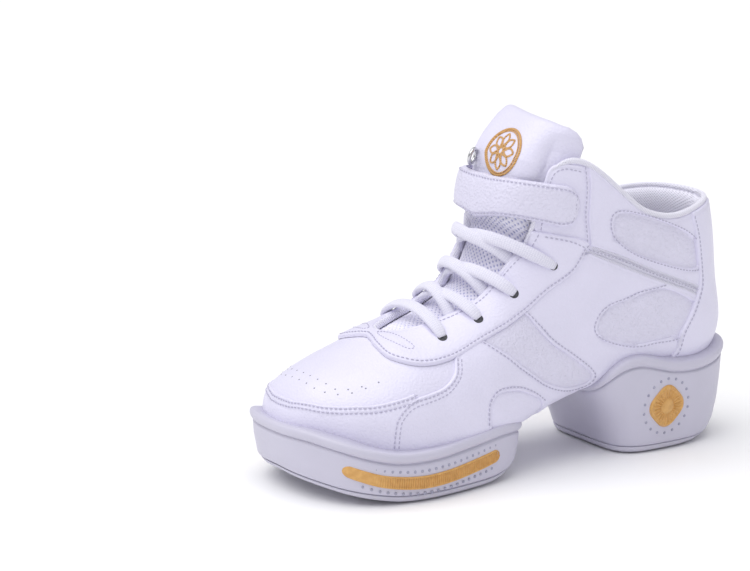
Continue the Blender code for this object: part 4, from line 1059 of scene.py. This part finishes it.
# Strap ring
# A small polished steel ring above the strap, that its inner end hangs from.
steel, tree, shader, where = material_nodes("polished steel", (0.62, 0.62, 0.64), 0.18)
shader.inputs["Metallic"].default_value = 1.0
scuffs = pattern(tree, where, "noise", 900, Detail=4.0)
tree.links.new(ramp(tree, scuffs.outputs["Fac"], 0.35, 0.7, (0.12,), (0.30,)), shader.inputs["Roughness"])
bump(tree, shader, scuffs.outputs["Fac"], 0.00003, 0.4)
RING_SECTION, RING_ANGLE, RING_HEIGHT, RING_RADIUS, RING_WIRE = 14.9, 0.32, 0.0039, 0.0036, 0.0018
centre = skin(RING_SECTION, RING_ANGLE, RING_HEIGHT)
outwards = skin(RING_SECTION, RING_ANGLE, RING_HEIGHT + 0.001)
beyond = skin(RING_SECTION, RING_ANGLE + 0.1, RING_HEIGHT)
axis = Vector(outwards - centre).normalized() + Vector(beyond - centre).normalized()
frame_of_ring = np.array(axis.to_track_quat("Z", "Y").to_matrix())
circle = np.linspace(0, 2 * math.pi, 48, endpoint=False)
flat_ring = np.column_stack([np.cos(circle), np.sin(circle), 0 * circle]) * RING_RADIUS
points = centre + flat_ring @ frame_of_ring.T
upward = np.tile(frame_of_ring[:, 2], (len(circle), 1))
ring = sweep("steel_ring", points, upward, RING_WIRE, RING_WIRE, steel, closed=True)
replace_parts(ring, "strap_ring")

# Laces
# Soft oval laces of white knit: a straight bar at the toe end, and above it three crossings whose upper
# ends go into the eyelets and whose lower ends slip under the opposite flap.
LACE_WIDTH, LACE_THICKNESS, LACE_RISE, LACE_TUCK = 0.0060, 0.0032, 0.0012, 0.07
lace_cloth, tree, shader, where = material_nodes("lace cloth", (0.82, 0.82, 0.86), 0.85)
shader.inputs["Sheen Weight"].default_value = 0.3
placed = tree.nodes.new("ShaderNodeUVMap")
placed.uv_map = "along"
spread = tree.nodes.new("ShaderNodeMapping")
spread.inputs["Scale"].default_value = (900, 26, 1)
tree.links.new(placed.outputs["UV"], spread.inputs["Vector"])
weave = tree.nodes.new("ShaderNodeTexVoronoi")
weave.inputs["Scale"].default_value = 1.0
weave.inputs["Randomness"].default_value = 0.25
tree.links.new(spread.outputs["Vector"], weave.inputs["Vector"])
# The weave's cells are darker towards their edges, where the strands dip: painted shade in the gaps of the
# weave.
tree.links.new(ramp(tree, weave.outputs["Distance"], 0.1, 0.75, (0.84, 0.825, 0.93), (0.66, 0.65, 0.78)),
               shader.inputs["Base Color"])
bump(tree, shader, weave.outputs["Distance"], 0.00018, -0.9)


def lace(name, start, end, dips, height=0.0):
    """A run of lace over the tongue, from an eyelet to another, or down under the opposite flap."""
    share = np.linspace(-0.035, 1.0 if dips else 1.035, 70)
    at = start[0] + (end[0] - start[0]) * share
    turned = start[1] + (end[1] - start[1]) * share
    over = GAP + OVERLAY + GAP + LACE_THICKNESS / 2
    under = LACE_THICKNESS / 2 - WALL
    if dips:
        lift = np.interp(share, (-0.035, 0.02, 0.3, 0.58, 0.8, 0.92, 1),
                         (0.0016, over, over + LACE_RISE, over + LACE_RISE, over - 0.0016,
                          under - 0.0009, -0.0026))
        size = np.interp(share, (-0.035, 0.0, 0.08, 0.9, 1), (0.55, 0.86, 1.0, 1.0, 0.8))
    else:
        lift = np.interp(share, (-0.035, 0.02, 0.25, 0.75, 0.98, 1.035),
                         (0.0016, over, over + LACE_RISE, over + LACE_RISE, over, 0.0016))
        size = np.interp(share, (-0.035, 0.0, 0.08, 0.92, 1.0, 1.035), (0.55, 0.86, 1, 1, 0.86, 0.55))
    lift = np.convolve(np.pad(lift, 4, "edge"), np.ones(9) / 9, "valid")
    lift = lift + height * np.exp(-(((share - 0.62) / 0.20) ** 2))
    points = skin(at, turned, lift)
    upward = skin(at, turned, lift + 0.001) - points
    return sweep(name, points, upward, LACE_WIDTH, LACE_THICKNESS, lace_cloth, sides=24, taper=size,
                 squareness=2.3)


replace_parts(lace("lace_bar_run", (EYELETS[0][0], -EYELETS[0][1]), EYELETS[0], False), "lace_bar")
sections, opening = THROAT.T
for row, (lower, upper) in enumerate(zip(EYELETS, EYELETS[1:]), start=1):
    below = (lower[0] + upper[0]) / 2
    edge = np.interp(below, sections, opening) + LACE_TUCK
    for side, hand in ((-1, "outer"), (1, "inner")):
        run = lace(f"lace_{row}_{hand}", (upper[0], side * upper[1]), (below, -side * edge), True,
                   height=0.0024 if side > 0 else -0.0004)
        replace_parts(run, f"lace_cross_{row}")

# Forefoot sole
# A moulded unit of white foam rubber, cemented under the toe and the ball. Its rounded lip stands round the
# leather like a welt, over a fine groove, and the sides draw in a little towards the outsole.
LIP, LIP_DEPTH, TREAD = 0.0026, 0.0050, 0.0038
FOREFOOT = (
    (-.4894, .12, .12, .205, .89), (-.4859, -.16, .40, .190, .89), (-.4697, -.46, .65, .160, .88),
    (-.4374, -.75, .84, .105, .81), (-.3920, -.93, .96, .052, .71), (-.3344, -1.01, 1.02, .005, .63),
    (-.2627, -1.03, 1.03, 0, .63), (-.1773, -.96, .98, 0, .685), (-.1082, -.87, .90, .012, .73),
    (-.0597, -.74, .77, .08, .71), (-.0431, -.50, .54, .14, .68), (-.0370, -.24, .28, .17, .66),
    (-.0348, .02, .02, .18, .66),
)
STATIONS = smooth_path(FOREFOOT, 9) * (LENGTH, BALL_WIDTH / 2, BALL_WIDTH / 2, SEAT_HEIGHT, SEAT_HEIGHT)
STATIONS[:, 3] = np.maximum(STATIONS[:, 3], 0)


def foam(name, tone, rough, pore):
    """Moulded foam rubber: an almost smooth skin with a fine satin texture and faint flow marks."""
    made, tree, shader, where = material_nodes(name, tone, rough)
    cloud = pattern(tree, where, "noise", 45, Detail=3.0)
    tree.links.new(ramp(tree, cloud.outputs["Fac"], 0.35, 0.7, tuple(c * 0.965 for c in tone), tone),
                   shader.inputs["Base Color"])
    skin_marks = pattern(tree, where, "noise", 1 / pore, Detail=3.0)
    tree.links.new(ramp(tree, skin_marks.outputs["Fac"], 0.3, 0.7, (rough - 0.06,), (rough + 0.08,)),
                   shader.inputs["Roughness"])
    bump(tree, shader, skin_marks.outputs["Fac"], 0.00006, 0.5)
    return made


sole_foam = foam("sole foam", (0.60, 0.582, 0.70), 0.42, 0.0011)
outsole_rubber = foam("outsole rubber", (0.60, 0.585, 0.69), 0.58, 0.0008)


def forefoot_ring(out, drawn_in, height):
    """One level of the forefoot unit: its outer and its inner path from toe to rear."""
    x, outer_y, inner_y, ground, lip = STATIONS.T
    middle, half_length = (x[0] + x[-1]) / 2, (x[-1] - x[0]) / 2
    moved = out + LIP
    level = middle + (x - middle) * (1 + (moved - drawn_in) / half_length)
    wide = 1 + moved / (BALL_WIDTH / 2)
    return tuple(np.column_stack([level, y * wide, height(ground, lip)]) for y in (outer_y, inner_y))


def block_of_levels(name, rings, material):
    """A block through rings, each an outer and an inner path that meet at both ends, closed by strips."""
    stations = len(rings[0][0])
    points = np.concatenate([np.concatenate([outer, inner[-2:0:-1]]) for outer, inner in rings])
    ring = 2 * stations - 2
    faces = grid_faces(len(rings), ring, closed=True)
    for start in (0, (len(rings) - 1) * ring):
        faces.append((start, start + 1, start + ring - 1))
        for j in range(1, stations - 2):
            faces.append((start + j, start + j + 1, start + ring - j - 1, start + ring - j))
        faces.append((start + stations - 2, start + stations - 1, start + stations))
    return piece(name, points, faces, material)


side_levels = (
    (-.0020, .0046, lambda ground, lip: ground + TREAD),
    (-.0005, .0042, lambda ground, lip: ground + TREAD + .0002),
    (.0003, .0038, lambda ground, lip: ground + TREAD + .0009),
    (.0007, .0034, lambda ground, lip: ground + TREAD + .0022),
    (.0009, .0026, lambda ground, lip: ground + TREAD + .3 * (lip - ground - TREAD)),
    (.0008, .0015, lambda ground, lip: ground + TREAD + .5 * (lip - ground - TREAD)),
    (.0005, .0007, lambda ground, lip: lip - LIP_DEPTH - .0016),
    (.0002, .0003, lambda ground, lip: lip - LIP_DEPTH - .0007),
    (-.0007, .0001, lambda ground, lip: lip - LIP_DEPTH - .0002),
    (-.0007, 0, lambda ground, lip: lip - LIP_DEPTH + .0002),
    (.0003, 0, lambda ground, lip: lip - LIP_DEPTH + .0006),
    (.0009, 0, lambda ground, lip: lip - LIP_DEPTH + .0014),
    (.0013, 0, lambda ground, lip: lip - .0024),
    (.0012, 0, lambda ground, lip: lip - .0012),
    (.0007, 0, lambda ground, lip: lip - .0003),
    (0, 0, lambda ground, lip: lip),
    (-.0008, 0, lambda ground, lip: lip),
)
grid_sections, grid_angles = np.linspace(0.03, 17, 520), np.linspace(-math.pi, math.pi, 420)
leather_grid = skin(grid_sections[:, None], grid_angles[None, :], -0.0008).reshape(-1, 3)
leather_points = KDTree(len(leather_grid))
for index, at in enumerate(leather_grid):
    leather_points.insert(at, index)
leather_points.balance()


def down_inside(last_ring, floor_height):
    """Rings that close a lip against the leather: onto the leather, down along it, and to a floor."""
    rings = []
    for drop in (0.0002, 0.0050):
        rings.append(tuple(np.array([tuple(leather_points.find(at - (0, 0, drop))[0]) for at in path])
                           for path in last_ring))
    middle = np.concatenate(last_ring).mean(axis=0)
    lowest = tuple(np.column_stack([middle[:2] + (path[:, :2] - middle[:2]) * 0.75, floor_height(path)])
                   for path in rings[-1])
    for ring in (*rings, lowest):
        for end in (0, -1):
            ring[1][end] = ring[0][end]
    return [*rings, lowest]


rings = [forefoot_ring(*level) for level in side_levels]
rings += down_inside(rings[-1], lambda path: np.interp(path[:, 0], STATIONS[:, 0], STATIONS[:, 3]) + 0.0085)
forefoot = block_of_levels("forefoot_unit", rings, sole_foam)
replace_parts(forefoot, "forefoot_sole")

# Forefoot outsole
# A thin plate of harder rubber under the foam, with rounded ribs across it and rings round the smooth spot
# that the dancer turns on.
plate_levels = (
    (-.0060, .0095, lambda ground, lip: ground + .0010),
    (-.0036, .0066, lambda ground, lip: ground + .0006),
    (-.0024, .0056, lambda ground, lip: ground + .0008),
    (-.0010, .0050, lambda ground, lip: ground + .0016),
    (-.0002, .0045, lambda ground, lip: ground + TREAD - .0006),
    (-.0004, .0043, lambda ground, lip: ground + TREAD - .0001),
)
rings = [forefoot_ring(*level) for level in plate_levels]
plate = block_of_levels("forefoot_outsole", rings, outsole_rubber)
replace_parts(plate, "forefoot_tread")
PIVOT = -0.25 * LENGTH
RIB, RIB_SPACING, RIB_ROWS, RIB_WAVE, RIB_HEIGHT = (0.0042, 0.0017, 0.0021), 0.0044, 0.0040, 0.0022, 0.00105
RIB_MARGIN, SPOT_RADIUS = 0.0105, 0.0205
points, along = [], []
for radius in (0.0065, 0.0115, 0.0165):
    turns = np.arange(0, 2 * math.pi, RIB[0] / radius)
    points += [(PIVOT + radius * math.cos(t), radius * math.sin(t)) for t in turns]
    along += [(-math.sin(t), math.cos(t), 0) for t in turns]
for x in np.arange(-0.094, -0.022, RIB_ROWS):
    half_outer = np.interp(x, STATIONS[:, 0], STATIONS[:, 1]) + RIB_MARGIN
    half_inner = np.interp(x, STATIONS[:, 0], STATIONS[:, 2]) - RIB_MARGIN
    for y in np.arange(half_outer, half_inner, RIB_SPACING):
        if math.hypot(x - PIVOT, y) > SPOT_RADIUS:
            points.append((x + RIB_WAVE * math.cos(y / RIB_SPACING * math.pi), y))
            along.append((0.35, 1, 0))
points = np.array(points)
ground = np.interp(points[:, 0], STATIONS[:, 0], STATIONS[:, 3])
points = np.column_stack([points, ground + RIB_HEIGHT])
studs("forefoot_ribs", points, along, np.tile((0, 0, 1.0), (len(points), 1)), RIB, outsole_rubber, 2,
      slot="outsole_rubber")

# Heel
# The separate block heel, moulded in the same foam: a sloping hollowed front, upright rounded sides, and a
# wavy lip that rises over the waist and round the back of the leather.
HEEL = ((0, .2059, .4209, .87), (.11, .2018, .4553, .91), (.27, .1937, .4694, .94),
        (.52, .1746, .4795, .97), (.80, .1473, .4856, 1.00), (1.05, .1311, .4886, 1.02),
        (1.45, .1251, .4896, 1.03))
HEEL_LIP = ((.0837, .68), (.1079, .76), (.1210, .87), (.1422, 1.00), (.1624, 1.16), (.1907, 1.27),
            (.2250, 1.30), (.2604, 1.25), (.3078, 1.17), (.3664, 1.14), (.4260, 1.17), (.4785, 1.24),
            (.5219, 1.29), (.5967, 1.34))
HEEL_TAPER, HEEL_MIDDLE, HEEL_FRONT_CORNERS, HEEL_REAR_CORNERS = 0.06, 0.48, 4.2, 2.5
heel_rows = np.array(HEEL)
lip_line = smooth_path(HEEL_LIP, 6)
heel_turns = np.linspace(0, math.pi, 73)


def heel_outline(height, out):
    """Points of the heel's side at heights, one for each turn from the front to the back, on both sides."""
    front, rear, half = (np.interp(height, heel_rows[:, 0], heel_rows[:, k]) for k in (1, 2, 3))
    front = front * LENGTH - LIP - out
    rear = rear * LENGTH + LIP + out
    half = half * HEEL_WIDTH / 2 + LIP + out
    middle = front + (rear - front) * HEEL_MIDDLE
    power = np.where(heel_turns < math.pi / 2, HEEL_FRONT_CORNERS, HEEL_REAR_CORNERS)
    along, across = np.abs(np.cos(heel_turns)), np.abs(np.sin(heel_turns))
    radius = (along**power + across**power) ** (-1 / power)
    reach = np.where(heel_turns < math.pi / 2, middle - front, middle - rear)
    x = middle - reach * radius * along
    y = half * radius * across * (1 + HEEL_TAPER * np.cos(heel_turns))
    hollow = 0.0016 * np.clip(1 - np.abs(y) / 0.020, 0, 1) ** 0.8 * (heel_turns < math.pi / 2)
    return x + hollow * np.sin(math.pi * np.clip(height, 0.1, 1) / 1.1), y


def heel_level(height_of, out):
    """A level of the heel that follows its wavy lip: height_of gives its height from the lip's own."""
    top = np.full_like(heel_turns, 1.15)
    for _ in range(6):
        x, y = heel_outline(height_of(top), out)
        top = np.interp(x / LENGTH, lip_line[:, 0], lip_line[:, 1])
    height = height_of(top)
    x, y = heel_outline(height, out)
    return np.column_stack([x, -y, height * SEAT_HEIGHT]), np.column_stack([x, y, height * SEAT_HEIGHT])


foot = TREAD / SEAT_HEIGHT
unit = 1 / SEAT_HEIGHT
above_foot = ((0, -.0016), (.0002, -.0005), (.0008, -.0001), (.002, 0))
below_lip = ((.0066, 0), (.0058, -.0002), (.0054, -.0010), (.0050, -.0010), (.0046, -.0001), (.0038, .0005),
             (.0026, .0009), (.0014, .0009), (.0005, .0005), (0, -.0002), (0, -.0008))
rings = [heel_level(lambda top, high=high: foot + high * unit + 0 * top, out) for high, out in above_foot]
for share in np.linspace(0.12, 0.9, 14):
    rings.append(heel_level(lambda top, share=share: foot + share * (top - 0.0072 * unit - foot), 0.0))
rings += [heel_level(lambda top, drop=drop: top - drop * unit, out) for drop, out in below_lip]
rings += down_inside(rings[-1], lambda path: np.full(len(path), 0.78 * SEAT_HEIGHT))
heel = block_of_levels("heel_unit", rings, sole_foam)
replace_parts(heel, "heel_sole")
tread_levels = ((.0010, -.0050), (.0006, -.0024), (.0008, -.0014), (.0016, -.0003), (.0034, .0000),
                (.0037, -.0003))
rings = [heel_level(lambda top, high=high: high * unit + 0 * top, out) for high, out in tread_levels]
heel_plate = block_of_levels("heel_outsole", rings, outsole_rubber)
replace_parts(heel_plate, "heel_tread")
points, along = [], []
for x in np.arange(0.0535, 0.1035, RIB_ROWS):
    for y in np.arange(-0.0242, 0.0243, RIB_SPACING):
        if x < 0.094 or abs(y) < 0.018:
            points.append((x + RIB_WAVE * math.cos(y / RIB_SPACING * math.pi), y, RIB_HEIGHT))
            along.append((0.35, 1, 0))
studs("heel_ribs", points, along, np.tile((0, 0, 1.0), (len(points), 1)), RIB, outsole_rubber, 2,
      slot="outsole_rubber")

# Gold inlays
# Ribbed bars of gold plastic let into both sides of the forefoot unit, with round ends, each between two
# rows of small round dents.
gold, tree, shader, where = material_nodes("gold moulding", (0.66, 0.36, 0.10), 0.36)
brushed = pattern(tree, where, "noise", 420, Detail=4.0)
tree.links.new(ramp(tree, brushed.outputs["Fac"], 0.3, 0.7, (0.60, 0.31, 0.08), (0.72, 0.41, 0.13)),
               shader.inputs["Base Color"])
tree.links.new(ramp(tree, brushed.outputs["Fac"], 0.3, 0.7, (0.30,), (0.44,)), shader.inputs["Roughness"])
bump(tree, shader, brushed.outputs["Fac"], 0.00005, 0.5)
shader.inputs["Coat Weight"].default_value = 0.15
DENT, DENT_SPACING, DENT_GAP, BAR_RIB_SPACING = (0.0015, 0.0015, 0.0007), 0.0036, 0.0021, 0.0011
BAR_COLUMNS, BAR_ROWS = 420, 33
INLAY_LINE = ((-.4400, .475, .066), (-.4150, .405, .070), (-.3700, .315, .074), (-.3051, .262, .078),
              (-.2364, .280, .080), (-.1668, .335, .080), (-.1300, .372, .078), (-.1132, .390, .074))
# The dents are not sunk into the foam: each is a flat grey stud, painted shade standing in for the hollow of
# a dent.
dent, tree, shader, where = material_nodes("painted shade of a dent in the sole", (0.37, 0.37, 0.48), 0.6)
tree.links.new(ramp(tree, pattern(tree, where, "noise", 800).outputs["Fac"], 0.3, 0.7, (0.33, 0.33, 0.44),
                    (0.41, 0.41, 0.52)), shader.inputs["Base Color"])


def forefoot_side(x, z, side, lift):
    """Points on the side of the forefoot unit at places seen from the side."""
    y = np.interp(x, STATIONS[:, 0], STATIONS[:, 1 if side < 0 else 2])
    lip = np.interp(x, STATIONS[:, 0], STATIONS[:, 4])
    ground = np.interp(x, STATIONS[:, 0], STATIONS[:, 3])
    up_side = np.clip((z - ground - TREAD) / (lip - ground - TREAD - 0.006), 0, 1)
    out = LIP + 0.0008 - 0.0004 * up_side
    slope = np.gradient(y, x)
    return y * (1 + out / (BALL_WIDTH / 2)) + side * lift / (1 + slope**2) ** 0.25


line = smooth_path(INLAY_LINE, 40) * (LENGTH, SEAT_HEIGHT, SEAT_HEIGHT)
steps = np.linalg.norm(np.diff(line[:, :2], axis=0), axis=1)
gone = np.concatenate([[0], np.cumsum(steps)])
even = np.linspace(0, gone[-1], BAR_COLUMNS)
line = np.column_stack([np.interp(even, gone, line[:, k]) for k in range(3)])
ends = np.clip(np.minimum(even, even[-1] - even) / 0.0030, 0, 1)
line[:, 2] *= np.sqrt(np.clip(1 - (1 - ends) ** 2, 0.01, 1))
across = np.sin(np.linspace(-1, 1, BAR_ROWS) * math.pi / 2)
slope = np.gradient(line[:, 1], line[:, 0])
ribs = 0.5 + 0.5 * np.cos(2 * math.pi * even / BAR_RIB_SPACING)
for side, hand in ((-1, "outer"), (1, "inner")):
    rows = []
    for place in across:
        x = line[:, 0] - slope * line[:, 2] * place * 0.5
        z = line[:, 1] + line[:, 2] * place
        rim = np.clip(1 - abs(place) ** 12, 0, 1) ** 0.5
        inner_field = np.clip((0.80 - abs(place)) / 0.1, 0, 1)
        strong = np.interp(even / even[-1], (0, 0.12, 0.3, 1), (0, 0, 1, 1))
        tip = np.clip(1 - even / even[-1] / 0.22, 0, 1)
        lift = 0.0004 + 0.0008 * rim + 0.0012 * tip - 0.0007 * inner_field * ribs * strong
        rows.append(np.column_stack([x, forefoot_side(x, z, side, lift), z]))
    faces = grid_faces(BAR_ROWS, BAR_COLUMNS)
    bar = piece(f"inlay_bar_{hand}", np.array(rows), faces, gold, outward=True)
    if np.sign(sum(face.normal.y for face in bar.data.polygons)) != side:
        bar.data.flip_normals()
    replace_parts(bar, f"inlay_{hand}")
    points = []
    for way, begin in ((1, 0.04), (-1, 0.10)):
        for at in np.arange(begin * even[-1], 0.97 * even[-1], DENT_SPACING):
            x, z, half = (np.interp(at, even, line[:, k]) for k in range(3))
            ground = np.interp(x, STATIONS[:, 0], STATIONS[:, 3]) + TREAD + 0.0007
            points.append((x, max(z + way * (half + DENT_GAP), ground)))
    points = np.array(points)
    points = points[np.argsort(points[:, 0])]
    y = forefoot_side(points[:, 0] + np.arange(len(points)) * 1e-7, points[:, 1], side, 0.0)
    y += side * 0.00022
    points = np.column_stack([points[:, 0], y, points[:, 1]])
    studs(f"sole_dents_{hand}", points, np.tile((1.0, 0, 0), (len(points), 1)),
          np.tile((0, float(side), 0), (len(points), 1)), DENT, dent, 2, slot="white_rubber")

# Medallions
# A plain gold medallion, cushion-shaped, set in each side of the heel: a beaded rim round a ribbed field
# with a smooth boss, between a few round dents in the foam.
BADGE_CENTRE, BADGE_RADIUS, DENT_CIRCLE = (0.295 * LENGTH, 0.60 * SEAT_HEIGHT), 0.0100, 0.0136


def heel_side(x, z, out):
    """How far out the side of the heel stands at places seen from the side."""
    height = z * unit
    front, rear, half = (np.interp(height, heel_rows[:, 0], heel_rows[:, k]) for k in (1, 2, 3))
    front = front * LENGTH - LIP - out
    rear = rear * LENGTH + LIP + out
    half = half * HEEL_WIDTH / 2 + LIP + out
    middle = front + (rear - front) * HEEL_MIDDLE
    ahead = x < middle
    reach = np.where(ahead, middle - front, rear - middle)
    power = np.where(ahead, HEEL_FRONT_CORNERS, HEEL_REAR_CORNERS)
    along = np.clip(np.abs(x - middle) / reach, 0, 1)
    across = (1 - along**power) ** (1 / power)
    lean = np.where(ahead, 1, -1) * along / np.hypot(along, across)
    return half * across * (1 + HEEL_TAPER * lean)


radii = np.concatenate([np.linspace(0.02, 0.86, 46), np.linspace(0.875, 1.0, 16)])
turns = np.linspace(0, 2 * math.pi, 193)[:-1]
for side, hand in ((-1, "outer"), (1, "inner")):
    r, t = radii[:, None], turns[None, :]
    reach = BADGE_RADIUS * r * (1 + 0.06 * np.cos(4 * t) * r)
    x = BADGE_CENTRE[0] + reach * np.sin(t)
    z = BADGE_CENTRE[1] + reach * np.cos(t)
    rim = np.exp(-((r - 0.88) / 0.06) ** 2)
    field = np.clip((0.80 - r) / 0.05, 0, 1) * np.clip((r - 0.36) / 0.05, 0, 1)
    boss = np.sqrt(np.clip(1 - (r / 0.36) ** 2, 0, 1))
    fall = np.sqrt(np.clip(1 - ((r - 0.93) / 0.07).clip(0, 1) ** 2, 0, 1))
    high = (0.0007 + 0.0006 * rim * (0.8 + 0.2 * np.cos(36 * t)) + 0.0003 * field * np.cos(24 * t)
            + 0.0007 * boss) * fall - 0.0002 * (1 - fall)
    y = side * (heel_side(x, z, 0) + high)
    points = np.stack([x + 0 * y, y, z + 0 * y], axis=-1)
    centre = points[0].mean(axis=0)
    points = np.concatenate([points.reshape(-1, 3), [centre]])
    faces = grid_faces(len(radii), len(turns), closed=True)
    faces += [(len(points) - 1, j, (j + 1) % len(turns)) for j in range(len(turns))]
    medallion = piece(f"medallion_{hand}", points, faces, gold)
    if np.sign(sum(face.normal.y for face in medallion.data.polygons)) != side:
        medallion.data.flip_normals()
    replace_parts(medallion, f"badge_{hand}")
    # The dents round the medallion are the same flat studs of painted shade.
    angles = np.linspace(0, 2 * math.pi, 19)[:-1]
    x = BADGE_CENTRE[0] + DENT_CIRCLE * np.sin(angles)
    z = BADGE_CENTRE[1] + DENT_CIRCLE * np.cos(angles)
    points = np.column_stack([x, side * (heel_side(x, z, 0) + 0.00005), z])
    studs(f"heel_dents_{hand}", points, np.tile((1.0, 0, 0), (len(points), 1)),
          np.tile((0, float(side), 0), (len(points), 1)), DENT, dent, 2, slot="white_rubber")
